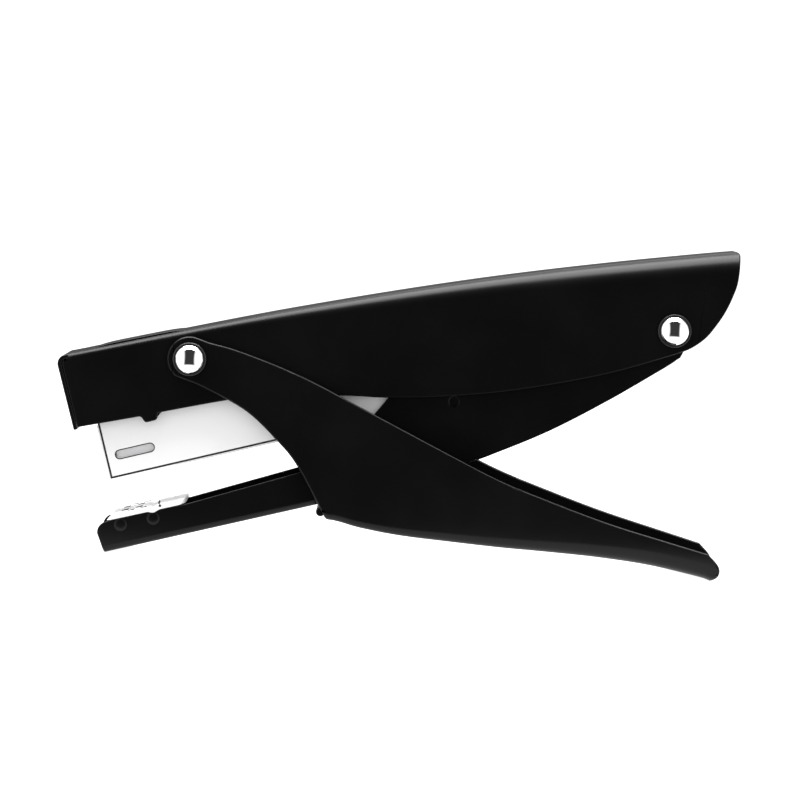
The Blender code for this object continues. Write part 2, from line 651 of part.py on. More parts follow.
def build_rivet(parts, label, pivot, outer_half, chrome, black):
    """A two-part rivet: a post with a bored shank and a cap with a pin, each with a domed head."""
    crown = HEAD_HEIGHT - HEAD_RIM
    dome_radius = (HEAD_RADIUS ** 2 + crown ** 2) / (2 * crown)
    half_angle = math.degrees(math.asin(HEAD_RADIUS / dome_radius))
    dome = arc((0.0, HEAD_HEIGHT - dome_radius), dome_radius, 90.0, 90.0 - half_angle, 7)
    dome[0] = (0.0, HEAD_HEIGHT)
    head_y = outer_half + 2 * GAP + WASHER_THICKNESS
    reach = 2 * head_y - RIVET_END_ROOM
    bore_floor = -reach + RIVET_BORE_DEPTH
    pin_end = -RIVET_BORE_DEPTH + PIN_END_ROOM
    post = dome + [(HEAD_RADIUS, 0.0), (SHANK_RADIUS, 0.0), (SHANK_RADIUS, -reach),
                   (RIVET_BORE_RADIUS, -reach), (RIVET_BORE_RADIUS, bore_floor), (0.0, bore_floor)]
    cap = dome + [(HEAD_RADIUS, 0.0), (PIN_RADIUS, 0.0), (PIN_RADIUS, pin_end), (0.0, pin_end)]
    turned(f"{label}_rivet_post", post, pivot, -head_y, -1, parts, chrome)
    turned(f"{label}_rivet_cap", cap, pivot, head_y, 1, parts, chrome)
    low = outer_half + GAP
    high = low + WASHER_THICKNESS
    ring(f"{label}_washer_near", HOLE_RADIUS, WASHER_RADIUS, pivot, -high, -low, parts, black)
    ring(f"{label}_washer_far", HOLE_RADIUS, WASHER_RADIUS, pivot, low, high, parts, black)


def build_sleeves(parts, steel):
    inner = COVER_HALF - COVER_SHEET - 2 * GAP
    ring("front_sleeve", HOLE_RADIUS, SLEEVE_RADIUS, FRONT_PIVOT, -inner, inner, parts, steel)
    inner = MAGAZINE_HALF - MAGAZINE_SHEET - 2 * GAP
    ring("rear_sleeve", HOLE_RADIUS, SLEEVE_RADIUS, REAR_PIVOT, -inner, inner, parts, steel)


# ---------------------------------------------------------------- driver and return springs


def build_driver(parts, steel, black):
    """The blade that drives the staple and the block that holds it under the cover's nose."""
    blade_low = (BLADE_FRONT, -BLADE_HALF, BLADE_LOW)
    blade_high = (BLADE_REAR, BLADE_HALF, BLADE_TOP)
    put_in_magazine(box("driver_blade", blade_low, blade_high, parts, steel))
    side = in_mm([(2.6, 22.2), (9.5, 22.2), (9.5, 27.6), (2.6, 28.0)])
    put_in_magazine(plate("driver_block", [side], DRIVER_BLOCK_WIDTH, parts, black))


def torsion_points(y_start, y_way, leg_up_to, leg_down_to, turns):
    """A torsion spring about the rear pivot, whole turns and a half, with two legs that reach forward."""
    count = turns * RETURN_STEPS + RETURN_STEPS // 2
    points = [(leg_up_to[0], y_start, leg_up_to[1])]
    for i in range(count + 1):
        angle = math.pi / 2 + 2 * math.pi * i / RETURN_STEPS
        y = y_start + y_way * RETURN_PITCH * i / RETURN_STEPS
        x = REAR_PIVOT[0] + RETURN_COIL * math.cos(angle)
        points.append((x, y, REAR_PIVOT[1] + RETURN_COIL * math.sin(angle)))
    points.append((leg_down_to[0], points[-1][1], leg_down_to[1]))
    return points


def build_return_springs(parts, spring_steel):
    arm_legs = in_mm([(34.0, 70.6), (13.0, 25.6)])
    coil_spring("arm_spring", torsion_points(-RETURN_START, 1, *arm_legs, 3), RETURN_WIRE, parts, spring_steel)
    rest = from_magazine((STOP_FRONT + STOP_REAR) / 2, STOP_TOP + RETURN_WIRE + 2 * GAP)
    points = torsion_points(RETURN_START, -1, (44.0 * MM, 72.2 * MM), (rest.x, rest.z), 2)
    coil_spring("magazine_spring", points, RETURN_WIRE, parts, spring_steel)


def main():
    clear_scene()
    parts = make_collection("stapler")
    cutters = make_collection("cutters")
    paint = make_material("black_paint", 0.006, 0.42, 0.0)
    nickel = make_material("nickel_plate", 0.72, 0.22, 1.0)
    chrome = make_material("chrome", 0.8, 0.06, 1.0)
    steel = make_material("steel", 0.45, 0.32, 1.0)
    spring_steel = make_material("spring_steel", 0.35, 0.3, 1.0)
    oxide = make_material("black_oxide", 0.01, 0.35, 0.6)
    build_cover(parts, cutters, paint)
    build_handle(parts, cutters, paint)
    build_arm(parts, cutters, paint)
    build_anvil(parts, cutters, nickel)
    build_magazine(parts, cutters, nickel)
    build_rail(parts, steel)
    build_pusher(parts, cutters, steel, spring_steel)
    build_rivet(parts, "front", FRONT_PIVOT, EAR_HALF, chrome, oxide)
    build_rivet(parts, "rear", REAR_PIVOT, COVER_HALF, chrome, oxide)
    build_sleeves(parts, steel)
    build_driver(parts, steel, oxide)
    build_return_springs(parts, spring_steel)


main()
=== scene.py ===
"""Looks of the hand-grip stapler: pressed black steel, bright magazine and anvil, chrome rivets.

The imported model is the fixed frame. Every piece is rebuilt here with rounded sheet edges and fine bends,
in metres, in the same frame: X along the stapler with the nose at -X, Y across it, +Z up.
"""

import math

import bmesh
import bpy
from mathutils import Matrix, Vector


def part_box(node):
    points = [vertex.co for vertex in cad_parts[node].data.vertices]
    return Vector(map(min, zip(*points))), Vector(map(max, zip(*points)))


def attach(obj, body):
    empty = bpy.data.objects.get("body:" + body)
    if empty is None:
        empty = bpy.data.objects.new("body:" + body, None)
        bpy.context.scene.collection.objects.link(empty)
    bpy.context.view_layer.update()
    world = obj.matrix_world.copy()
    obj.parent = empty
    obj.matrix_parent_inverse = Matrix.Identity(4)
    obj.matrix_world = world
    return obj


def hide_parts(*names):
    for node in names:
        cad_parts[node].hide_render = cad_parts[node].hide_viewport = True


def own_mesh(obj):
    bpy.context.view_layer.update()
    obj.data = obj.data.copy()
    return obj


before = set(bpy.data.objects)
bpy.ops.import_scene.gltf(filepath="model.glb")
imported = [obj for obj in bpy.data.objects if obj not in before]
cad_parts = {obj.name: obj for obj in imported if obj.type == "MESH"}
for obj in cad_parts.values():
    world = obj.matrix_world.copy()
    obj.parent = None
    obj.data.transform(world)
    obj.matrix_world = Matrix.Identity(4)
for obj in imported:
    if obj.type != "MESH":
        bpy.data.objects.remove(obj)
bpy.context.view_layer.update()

MM = 0.001

# Half-widths of the outer faces of the nested channels, and their sheets.
MAGAZINE_HALF = 7.3 * MM
ARM_HALF = 8.8 * MM
COVER_HALF = 10.25 * MM
EAR_HALF = 11.65 * MM
MAGAZINE_SHEET = 0.8 * MM
ARM_SHEET = 1.1 * MM
COVER_SHEET = 1.0 * MM
HANDLE_SHEET = 1.1 * MM
GAP = 0.15 * MM

# Cutters and open outlines run well past the stapler.
CUT_WIDTH = 40.0 * MM
HANDLE_CUT_WIDTH = 60.0 * MM
ABOVE_ALL = 84.0 * MM

# Points nearer than this are one point: in an outline or wire, and before edges are rounded.
MERGE_FINE = 0.002 * MM
MERGE_COARSE = 0.01 * MM

HOLE_RADIUS = 2.15 * MM
HEAD_RADIUS = 3.3 * MM
HEAD_HEIGHT = 1.8 * MM
HEAD_RIM = 0.25 * MM
SHANK_RADIUS = 2.0 * MM
PIN_RADIUS = 1.0 * MM
RIVET_BORE_RADIUS = 1.25 * MM
RIVET_BORE_DEPTH = 9.0 * MM
WASHER_RADIUS = 4.0 * MM
WASHER_THICKNESS = 0.7 * MM
SLEEVE_RADIUS = 2.8 * MM

MAGAZINE_CORNER = (-67.8 * MM, 17.25 * MM)
MAGAZINE_TILT = math.radians(15.73)
RAIL_FRONT = 3.0 * MM
RAIL_REAR = 117.0 * MM
RAIL_HALF = 5.5 * MM
RAIL_TOP = 6.6 * MM
PUSHER_LENGTH = 16.0 * MM
ROD_UP = 10.0 * MM
ROD_RADIUS = 1.0 * MM

BEND_STEPS = 10
TURN_STEPS = 96


def node_centre(node):
    low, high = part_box(node)
    return (low + high) / 2


FRONT_PIVOT = tuple(node_centre("front_rivet_post").xz)
REAR_PIVOT = tuple(node_centre("rear_rivet_post").xz)
MAGAZINE_PLACE = (Matrix.Translation((MAGAZINE_CORNER[0], 0.0, MAGAZINE_CORNER[1]))
                  @ Matrix.Rotation(-MAGAZINE_TILT, 4, "Y"))
MAGAZINE_AXLE = tuple((MAGAZINE_PLACE.inverted() @ Vector((REAR_PIVOT[0], 0.0, REAR_PIVOT[1]))).xz)


# ---------------------------------------------------------------- materials


def shader_of(name):
    material = bpy.data.materials.new(name)
    material.use_nodes = True
    return material, material.node_tree, material.node_tree.nodes["Principled BSDF"]


def noise(tree, scale, detail, stretch=(1.0, 1.0, 1.0)):
    """A noise pattern fixed to the object, in metres; stretch below 1 draws it out along an axis."""
    place = tree.nodes.new("ShaderNodeTexCoord")
    mapping = tree.nodes.new("ShaderNodeMapping")
    mapping.inputs["Scale"].default_value = stretch
    texture = tree.nodes.new("ShaderNodeTexNoise")
    texture.inputs["Scale"].default_value = scale
    texture.inputs["Detail"].default_value = detail
    tree.links.new(place.outputs["Object"], mapping.inputs["Vector"])
    tree.links.new(mapping.outputs["Vector"], texture.inputs["Vector"])
    return texture.outputs["Fac"]


def spread(tree, source, low, high):
    """Maps a noise pattern to a range of values."""
    node = tree.nodes.new("ShaderNodeMapRange")
    node.inputs["From Min"].default_value = 0.3
    node.inputs["From Max"].default_value = 0.7
    node.inputs["To Min"].default_value = low
    node.inputs["To Max"].default_value = high
    tree.links.new(source, node.inputs["Value"])
    return node.outputs["Result"]


def tint(tree, source, dark, light):
    """Mixes two colours by a noise pattern."""
    node = tree.nodes.new("ShaderNodeMix")
    node.data_type = "RGBA"
    node.inputs["A"].default_value = (*dark, 1.0)
    node.inputs["B"].default_value = (*light, 1.0)
    tree.links.new(spread(tree, source, 0.0, 1.0), node.inputs["Factor"])
    return node.outputs["Result"]


def bump(tree, source, height, strength):
    node = tree.nodes.new("ShaderNodeBump")
    node.inputs["Distance"].default_value = height
    node.inputs["Strength"].default_value = strength
    tree.links.new(source, node.inputs["Height"])
    return node.outputs["Normal"]


def satin_paint(name="black_paint"):
    """Stoved satin black: faint orange peel, slightly uneven sheen, a trace of rubbed variation."""
    material, tree, shader = shader_of(name)
    cloud = noise(tree, 60.0, 3.0)
    peel = noise(tree, 1300.0, 2.0)
    tree.links.new(tint(tree, cloud, (0.0012, 0.0012, 0.0013), (0.0019, 0.0019, 0.0020)),
                   shader.inputs["Base Color"])
    tree.links.new(spread(tree, cloud, 0.30, 0.35), shader.inputs["Roughness"])
    tree.links.new(bump(tree, peel, 0.02 * MM, 0.10), shader.inputs["Normal"])
    shader.inputs["Specular IOR Level"].default_value = 0.20
    return material


def plated(name, dark, light, roughness, metallic, stretch=(1.0, 1.0, 1.0)):
    """A plated or bare metal: drawn-out grain, cloudy tone and a fine uneven polish."""
    material, tree, shader = shader_of(name)
    cloud = noise(tree, 90.0, 4.0)
    grain = noise(tree, 2600.0, 3.0, stretch)
    tree.links.new(tint(tree, cloud, dark, light), shader.inputs["Base Color"])
    tree.links.new(spread(tree, grain, roughness * 0.88, roughness * 1.12), shader.inputs["Roughness"])
    tree.links.new(bump(tree, grain, 0.004 * MM, 0.25), shader.inputs["Normal"])
    shader.inputs["Metallic"].default_value = metallic
    return material


def make_materials():
    along = (0.06, 1.0, 1.0)
    return {
        "paint": satin_paint(),
        "nickel": plated("nickel_plate", (0.86, 0.86, 0.86), (0.89, 0.89, 0.89), 0.40, 0.24, along),
        "chrome": plated("chrome", (0.84, 0.84, 0.85), (0.90, 0.90, 0.91), 0.05, 1.0),
        "steel": plated("steel", (0.78, 0.78, 0.79), (0.84, 0.84, 0.85), 0.34, 0.35, along),
        "spring": plated("spring_steel", (0.30, 0.30, 0.31), (0.40, 0.40, 0.41), 0.26, 1.0),
        "oxide": plated("black_oxide", (0.006, 0.006, 0.007), (0.012, 0.012, 0.013), 0.34, 0.0),
        # Painted shade: dark dull nickel on the faces of the anvil's pockets and grooves, standing in for
        # the shade in these hollows.
        "painted_hollow_shade": plated("nickel_painted_hollow_shade", (0.010, 0.010, 0.010), (0.03, 0.03, 0.03), 0.35, 0.4),
        # Painted shade: a dark dull layer that shows as a thin line round the magazine's raised panel and
        # its window, standing in for the shade at the panel's edge.
        "painted_edge_shade": plated("nickel_painted_edge_shade", (0.004, 0.004, 0.004), (0.008, 0.008, 0.008), 0.6, 0.0),
    }


# ---------------------------------------------------------------- outlines (x, z) and curves


def arc(centre, radius, start_deg, end_deg, steps):
    """Points on a circle, from start to end, in degrees from +X towards +Z."""
    points = []
    for i in range(steps + 1):
        angle = math.radians(start_deg + (end_deg - start_deg) * i / steps)
        points.append((centre[0] + radius * math.cos(angle), centre[1] + radius * math.sin(angle)))
    return points


def circle(centre, radius, steps=48):
    return arc(centre, radius, 0.0, 360.0, steps)[:-1]


def smooth(points, steps):
    """A Catmull-Rom curve through the points, ends included."""
    ends = [points[0], *points, points[-1]]
    curve = []
    for a, b, c, d in zip(ends, ends[1:], ends[2:], ends[3:]):
        for i in range(steps):
            t = i / steps
            curve.append(tuple(
                0.5 * (2 * b[k] + (c[k] - a[k]) * t + (2 * a[k] - 5 * b[k] + 4 * c[k] - d[k]) * t * t
                       + (3 * b[k] - a[k] - 3 * c[k] + d[k]) * t ** 3)
                for k in range(2)
            ))
    curve.append(tuple(points[-1]))
    return curve


def in_mm(points):
    return [(x * MM, z * MM) for x, z in points]


def interpolate(x, table):
    """Straight-line value at x from a table of (x, value)."""
    if x <= table[0][0]:
        return table[0][1]
    for (x0, v0), (x1, v1) in zip(table, table[1:]):
        if x <= x1:
            return v0 + (v1 - v0) * (x - x0) / (x1 - x0)
    return table[-1][1]


def spaced(start, end, step):
    count = max(1, round((end - start) / step))
    return [start + (end - start) * i / count for i in range(count + 1)]


# ---------------------------------------------------------------- solids


def finish(name, mesh, materials=()):
    obj = bpy.data.objects.new(name, mesh)
    bpy.context.scene.collection.objects.link(obj)
    for material in materials:
        mesh.materials.append(material)
    return obj


def flat_solid(name, outlines, thickness, y=0.0):
    """Closed (x, z) outlines filled and given a thickness across Y; inner outlines are holes."""
    curve = bpy.data.curves.new(name, "CURVE")
    curve.dimensions = "2D"
    curve.fill_mode = "BOTH"
    curve.extrude = thickness / 2
    for outline in outlines:
        spline = curve.splines.new("POLY")
        spline.points.add(len(outline) - 1)
        for point, (x, z) in zip(spline.points, outline):
            point.co = (x, z, 0.0, 1.0)
        spline.use_cyclic_u = True
    guide = bpy.data.objects.new(name + "_guide", curve)
    bpy.context.scene.collection.objects.link(guide)
    bpy.context.view_layer.update()
    evaluated = guide.evaluated_get(bpy.context.evaluated_depsgraph_get())
    mesh = bpy.data.meshes.new_from_object(evaluated)
    bpy.data.objects.remove(guide, do_unlink=True)
    bm = bmesh.new()
    bm.from_mesh(mesh)
    bmesh.ops.remove_doubles(bm, verts=bm.verts, dist=MERGE_FINE)
    bmesh.ops.rotate(bm, verts=bm.verts, cent=(0, 0, 0), matrix=Matrix.Rotation(math.pi / 2, 3, "X"))
    bmesh.ops.translate(bm, verts=bm.verts, vec=(0, y, 0))
    bmesh.ops.recalc_face_normals(bm, faces=bm.faces)
    bmesh.ops.dissolve_limit(bm, angle_limit=math.radians(0.5), verts=bm.verts, edges=bm.edges)
    bm.to_mesh(mesh)
    bm.free()
    return finish(name, mesh)


def section(half, radius, height, tilt):
    """Half of a U section as (y, h), from the middle of the web up one wall; h is the way the walls go."""
    points = [(0.0, 0.0), ((half - radius) * 0.5, 0.0)]
    for i in range(BEND_STEPS + 1):
        angle = -math.pi / 2 + (math.pi / 2 - tilt) * i / BEND_STEPS
        points.append((half - radius + radius * math.cos(angle), radius + radius * math.sin(angle)))
    rise = height - points[-1][1]
    points.append((points[-1][0] + rise * math.tan(tilt), height))
    return points


def channel(name, stations, way, thickness):
    """A bent-sheet channel lofted through U sections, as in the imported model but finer.

    Each station is (x, z of the web's outer face, half-width, bend radius, wall height, wall tilt).
    way is 1 for walls that go up from the web and -1 for walls that go down.
    """
    bm = bmesh.new()
    rows = []
    for x, z, half, radius, height, tilt in stations:
        side = section(half, radius, height, tilt)
        points = [(-y, h) for y, h in reversed(side)] + side[1:]
        rows.append([bm.verts.new((x, y, z + way * h)) for y, h in points])
    for row, after in zip(rows, rows[1:]):
        for a, b, c, d in zip(row, row[1:], after[1:], after):
            bm.faces.new((a, b, c, d) if way > 0 else (d, c, b, a))
    bm.normal_update()
    mesh = bpy.data.meshes.new(name)
    bm.to_mesh(mesh)
    bm.free()
    obj = finish(name, mesh)
    solidify = obj.modifiers.new("sheet", "SOLIDIFY")
    solidify.thickness = thickness
    solidify.offset = -1.0
    solidify.use_even_offset = True
    bake(obj)
    return obj


def bake(obj):
    """Replaces the object's mesh by what its modifiers make of it."""
    bpy.context.view_layer.update()
    evaluated = obj.evaluated_get(bpy.context.evaluated_depsgraph_get())
    mesh = bpy.data.meshes.new_from_object(evaluated)
    obj.modifiers.clear()
    obj.data = mesh


def combine(obj, cutter, operation="DIFFERENCE"):
    """Cuts, joins or intersects with a helper solid, which is then removed; cut faces keep its material."""
    modifier = obj.modifiers.new("combine", "BOOLEAN")
    modifier.object = cutter
    modifier.operation = operation
    modifier.solver = "MANIFOLD"
    modifier.material_mode = "TRANSFER"
    bake(obj)
    bpy.data.objects.remove(cutter, do_unlink=True)


def soften(obj, width, segments=2, angle=38.0):
    """Rounds the sharp edges of a solid and shades it smooth, with the flat faces kept flat."""
    bm = bmesh.new()
    bm.from_mesh(obj.data)
    bmesh.ops.remove_doubles(bm, verts=bm.verts, dist=MERGE_COARSE)
    bmesh.ops.dissolve_degenerate(bm, dist=MERGE_FINE, edges=bm.edges)
    sharp = [e for e in bm.edges if len(e.link_faces) == 2 and e.calc_face_angle() > math.radians(angle)]
    bmesh.ops.bevel(bm, geom=sharp, offset=width, offset_type="OFFSET", segments=segments, profile=0.5,
                    affect="EDGES", clamp_overlap=False, loop_slide=True, material=-1)
    bmesh.ops.remove_doubles(bm, verts=bm.verts, dist=MERGE_FINE)
    for face in bm.faces:
        face.smooth = True
    bm.to_mesh(obj.data)
    bm.free()
    weighted = obj.modifiers.new("shading", "WEIGHTED_NORMAL")
    weighted.weight = 60
    weighted.keep_sharp = True
    bake(obj)


def join(name, objects):
    """Joins solids into one piece."""
    bm = bmesh.new()
    materials = []
    for obj in objects:
        mesh = obj.data.copy()
        mesh.transform(obj.matrix_world)
        shift = []
        for material in mesh.materials:
            if material not in materials:
                materials.append(material)
            shift.append(materials.index(material))
        start = len(bm.faces)
        bm.from_mesh(mesh)
        bm.faces.ensure_lookup_table()
        for face in bm.faces[start:]:
            face.material_index = shift[face.material_index] if shift else 0
    joined = bpy.data.meshes.new(name)
    bm.to_mesh(joined)
    bm.free()
    for obj in objects:
        bpy.data.objects.remove(obj, do_unlink=True)
    return finish(name, joined, materials)


def paint_with(obj, *materials):
    obj.data.materials.clear()
    for material in materials:
        obj.data.materials.append(material)
    return obj


def placed(obj, matrix):
    obj.data.transform(matrix)
    return obj


def block(name, low, high):
    bm = bmesh.new()
    bmesh.ops.create_cube(bm, size=1.0)
    bmesh.ops.scale(bm, verts=bm.verts, vec=Vector(high) - Vector(low))
    bmesh.ops.translate(bm, verts=bm.verts, vec=(Vector(high) + Vector(low)) / 2)
    mesh = bpy.data.meshes.new(name)
    bm.to_mesh(mesh)
    bm.free()
    return finish(name, mesh)


def bar(name, start, end, radius, steps=32):
    """A round bar between two points."""
    line = Vector(end) - Vector(start)
    bm = bmesh.new()
    bmesh.ops.create_cone(bm, cap_ends=True, segments=steps, radius1=radius, radius2=radius,
                          depth=line.length)
    turn = line.to_track_quat("Z", "Y").to_matrix().to_4x4()
    middle = Matrix.Translation((Vector(start) + Vector(end)) / 2)
    bmesh.ops.transform(bm, matrix=middle @ turn, verts=bm.verts)
    mesh = bpy.data.meshes.new(name)
    bm.to_mesh(mesh)
    bm.free()
    return finish(name, mesh)


def turned(name, profile, centre, y, outward, closed=False):
    """A turned piece about an axis across the stapler; outward is the way of the profile's +Z."""
    mesh = bpy.data.meshes.new(name)
    edges = [(i, i + 1) for i in range(len(profile) - 1)]
    if closed:
        edges.append((len(profile) - 1, 0))
    mesh.from_pydata([(r, 0.0, h) for r, h in profile], edges, [])
    obj = finish(name, mesh)
    screw = obj.modifiers.new("turn", "SCREW")
    screw.axis = "Z"
    screw.steps = TURN_STEPS
    screw.render_steps = TURN_STEPS
    screw.use_merge_vertices = True
    screw.merge_threshold = 0.005 * MM
    bake(obj)
    obj.data.transform(Matrix.Rotation(-outward * math.pi / 2, 4, "X"))
    obj.data.transform(Matrix.Translation((centre[0], y, centre[1])))
    return obj


def shade(obj, angle=35.0):
    obj.data.shade_smooth()
    obj.data.set_sharp_from_angle(angle=math.radians(angle))
    return obj


def round_profile(points, radius, steps=4):
    """A closed (r, h) profile with its convex corners rounded."""
    rounded = []
    count = len(points)
    for i, corner in enumerate(points):
        before = Vector(points[i - 1]) - Vector(corner)
        after = Vector(points[(i + 1) % count]) - Vector(corner)
        reach = min(radius, before.length * 0.45, after.length * 0.45)
        start = Vector(corner) + before.normalized() * reach
        end = Vector(corner) + after.normalized() * reach
        for k in range(steps + 1):
            t = k / steps
            point = start * (1 - t) ** 2 + Vector(corner) * 2 * t * (1 - t) + end * t * t
            rounded.append(tuple(point))
    return rounded


def ring(name, inner, outer, centre, y_low, y_high, rounding):
    half = (y_high - y_low) / 2
    corners = [(inner, half), (outer, half), (outer, -half), (inner, -half)]
    profile = round_profile(corners, rounding)
    return shade(turned(name, profile, centre, (y_low + y_high) / 2, 1, closed=True))


def wire(name, points, radius):
    curve = bpy.data.curves.new(name, "CURVE")
    curve.dimensions = "3D"
    curve.bevel_depth = radius
    curve.bevel_resolution = 4
    curve.use_fill_caps = True
    spline = curve.splines.new("POLY")
    spline.points.add(len(points) - 1)
    for point, position in zip(spline.points, points):
        point.co = (*position, 1.0)
    guide = bpy.data.objects.new(name + "_guide", curve)
    bpy.context.scene.collection.objects.link(guide)
    bpy.context.view_layer.update()
    mesh = bpy.data.meshes.new_from_object(guide.evaluated_get(bpy.context.evaluated_depsgraph_get()))
    bpy.data.objects.remove(guide, do_unlink=True)
    bm = bmesh.new()
    bm.from_mesh(mesh)
    bmesh.ops.remove_doubles(bm, verts=bm.verts, dist=MERGE_FINE)
    bm.to_mesh(mesh)
    bm.free()
    return shade(finish(name, mesh))


def stands_for(piece, body, slot, *nodes):
    """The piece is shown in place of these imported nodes, and moves with their body."""
    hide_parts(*nodes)
    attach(piece, body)
    return piece


# ---------------------------------------------------------------- cover (upper handle)

COVER_TOP = smooth(in_mm([(-82.0, 46.85), (-62.0, 51.8), (-40.6, 57.1), (-24.0, 61.0), (0.0, 66.2),
                          (23.6, 70.8), (47.4, 74.8), (71.2, 78.3), (82.0, 79.7)]), 12)
COVER_BEND = smooth(in_mm([(-82.0, 1.2), (-50.0, 1.6), (-10.0, 3.0), (30.0, 4.3), (60.0, 5.0),
                           (82.5, 5.0)]), 8)
COVER_DEPTH = 36.0 * MM
NOSE_FOOT = (-76.65 * MM, 29.4 * MM)
NOSE_TOP = (-81.6 * MM, 46.95 * MM)
NOSE_RADIUS = 2.2 * MM
NOSE_SEAM = 0.12 * MM
NOSE_INSET = 0.01 * MM
PAD_FRONT = -74.0 * MM
PAD_REAR = -50.2 * MM
PAD_HALF = 6.0 * MM
PAD_EASE = ((0.0, -0.3), (1.0, 0.04), (2.6, 0.26), (4.6, 0.40), (7.0, 0.45))
PAD_EDGE = 0.15 * MM
FLAP_TOP_RUN = 0.8 * MM
COVER_EDGE = 0.3 * MM
COVER_STEP = 1.5 * MM


def cover_top(x):
    return interpolate(x, COVER_TOP)


def nose_lines():
    """The flap's directions, its bend centre and its bend's start and end angles, in degrees."""
    lean = math.atan2(NOSE_FOOT[0] - NOSE_TOP[0], NOSE_TOP[1] - NOSE_FOOT[1])
    climb = math.atan2(cover_top(-70.0 * MM) - cover_top(-78.0 * MM), 8.0 * MM)
    along_top = Vector((math.cos(climb), math.sin(climb)))
    under = Vector((math.sin(climb), -math.cos(climb)))
    into = Vector((math.cos(lean), math.sin(lean)))
    reach = NOSE_RADIUS * math.tan((math.pi / 2 - lean + climb) / 2)
    start = Vector(NOSE_TOP) + under * NOSE_INSET + along_top * reach
    centre = start + under * NOSE_RADIUS
    return along_top, under, into, start, centre, math.degrees(climb) + 90.0, 180.0 + math.degrees(lean)


def cover_outline():
    """Side view of the cover's walls: lower edge, tail, above the top, and inside the front flap."""
    _, _, into, start, centre, begin, end = nose_lines()
    set_back = COVER_SHEET + NOSE_SEAM
    wall_front = [tuple(Vector(NOSE_FOOT) + into * set_back + Vector((-0.15 * MM, 0.45 * MM)))]
    tab = in_mm([(-61.0, 33.45), (-60.6, 33.3), (-60.25, 32.95), (-59.9, 32.4), (-59.55, 32.15),
                 (-59.1, 32.15), (-57.3, 32.7), (-56.85, 32.95), (-56.7, 33.4), (-56.7, 34.55)])
    lower = smooth(in_mm([(-56.7, 34.55), (-40.0, 38.4), (-28.0, 40.4), (-11.0, 40.8), (-1.6, 40.8),
                          (14.4, 42.0), (30.8, 44.45), (50.5, 49.0), (66.6, 54.4)]), 8)
    tail = smooth(in_mm([(66.6, 54.4), (70.3, 56.0), (73.7, 58.6), (76.1, 61.7), (78.2, 65.2), (79.8, 69.0),
                         (80.8, 72.6), (81.2, 78.7)]), 6)
    above = in_mm([(81.0, 79.25), (80.55, 79.75)]) + [(80.0 * MM, ABOVE_ALL)]
    nose = [(start.x, ABOVE_ALL)] + arc(centre, NOSE_RADIUS - set_back, begin, end, 8)
    return wall_front + tab + lower[1:] + tail[1:] + above + nose


def nose_outline():
    """The front flap, bent down from the top: outer line, rounded foot and inner line."""
    along_top, under, into, start, centre, begin, end = nose_lines()
    outer = arc(centre, NOSE_RADIUS, begin, end, 12)
    inner = arc(centre, NOSE_RADIUS - COVER_SHEET, end, begin, 12)
    top_end = start + along_top * FLAP_TOP_RUN
    foot = Vector(NOSE_FOOT)
    return ([tuple(top_end)] + outer + [tuple(foot), tuple(foot + into * COVER_SHEET)] + inner
            + [tuple(top_end + under * COVER_SHEET)])


def build_nose_flap(look):
    flap = flat_solid("nose_flap", [nose_outline()], 2 * (COVER_HALF - NOSE_INSET))
    soften(flap, COVER_EDGE, segments=3)
    return paint_with(flap, look["paint"])


def build_top_pad(look):
    """The raised pad pressed into the top: it eases up from the sheet at both ends."""
    climb = (cover_top(PAD_REAR) - cover_top(PAD_FRONT)) / (PAD_REAR - PAD_FRONT)
    base = cover_top(PAD_FRONT)
    front = [(PAD_FRONT + x * MM, rise * MM) for x, rise in PAD_EASE]
    rear = [(PAD_REAR - x * MM, rise * MM) for x, rise in reversed(PAD_EASE)]
    outline = [(x, base + (x - PAD_FRONT) * climb + rise) for x, rise in front + rear]
    pad = flat_solid("top_pad", [outline], 2 * PAD_HALF)
    soften(pad, PAD_EDGE, segments=3)
    return paint_with(pad, look["paint"])


def build_cover(look):
    stations = [(x, cover_top(x), COVER_HALF, interpolate(x, COVER_BEND), COVER_DEPTH, 0.0)
                for x in spaced(-82.5 * MM, 82.5 * MM, COVER_STEP)]
    cover = channel("cover_pressing", stations, -1, COVER_SHEET)
    side_view = [cover_outline(), circle(FRONT_PIVOT, HOLE_RADIUS), circle(REAR_PIVOT, HOLE_RADIUS)]
    combine(cover, flat_solid("cover_side_view", side_view, CUT_WIDTH), "INTERSECT")
    soften(cover, COVER_EDGE, segments=3)
    paint_with(cover, look["paint"])
    cover = join("cover_pressing", [cover, build_nose_flap(look), build_top_pad(look)])
    stands_for(cover, "cover", "black_paint", "cover_shell")


# ---------------------------------------------------------------- lower handle

HANDLE_WEB = smooth([(-60.0, 8.0), (-28.0, 10.2), (-15.2, 10.8), (-7.1, 9.2), (2.6, 7.8), (14.6, 6.9),
                     (26.6, 6.1), (38.7, 5.55), (50.7, 4.8), (62.8, 3.4), (74.9, 1.0), (78.1, 0.02),
                     (81.0, -1.1)], 8)
HANDLE_HALF = smooth([(-62.0, 11.65), (-40.0, 11.65), (-22.0, 11.65), (0.0, 12.85), (20.0, 14.0),
                      (50.0, 15.0), (67.0, 13.8), (81.0, 12.0)], 8)
HANDLE_BEND = smooth([(-60.0, 1.7), (-22.0, 1.7), (30.0, 3.4), (60.0, 4.6), (81.0, 4.6)], 8)
HANDLE_TILT = smooth([(-60.0, 0.0), (-40.0, 0.0), (-22.0, 0.0), (20.0, 8.0), (50.0, 8.0), (81.0, 5.0)], 8)
HANDLE_WALL = ((-60.0, 48.0), (-20.0, 38.0), (10.0, 26.0), (30.0, 18.0), (81.0, 10.0))
EAR_RADIUS = 5.4 * MM
LIP_CENTRE = (-16.6 * MM, 12.6 * MM)
LIP_RADIUS = 1.1 * MM
LIP_INSET = 0.6 * MM
LIP_EDGE = 0.35 * MM
HANDLE_EDGE = 0.48 * MM


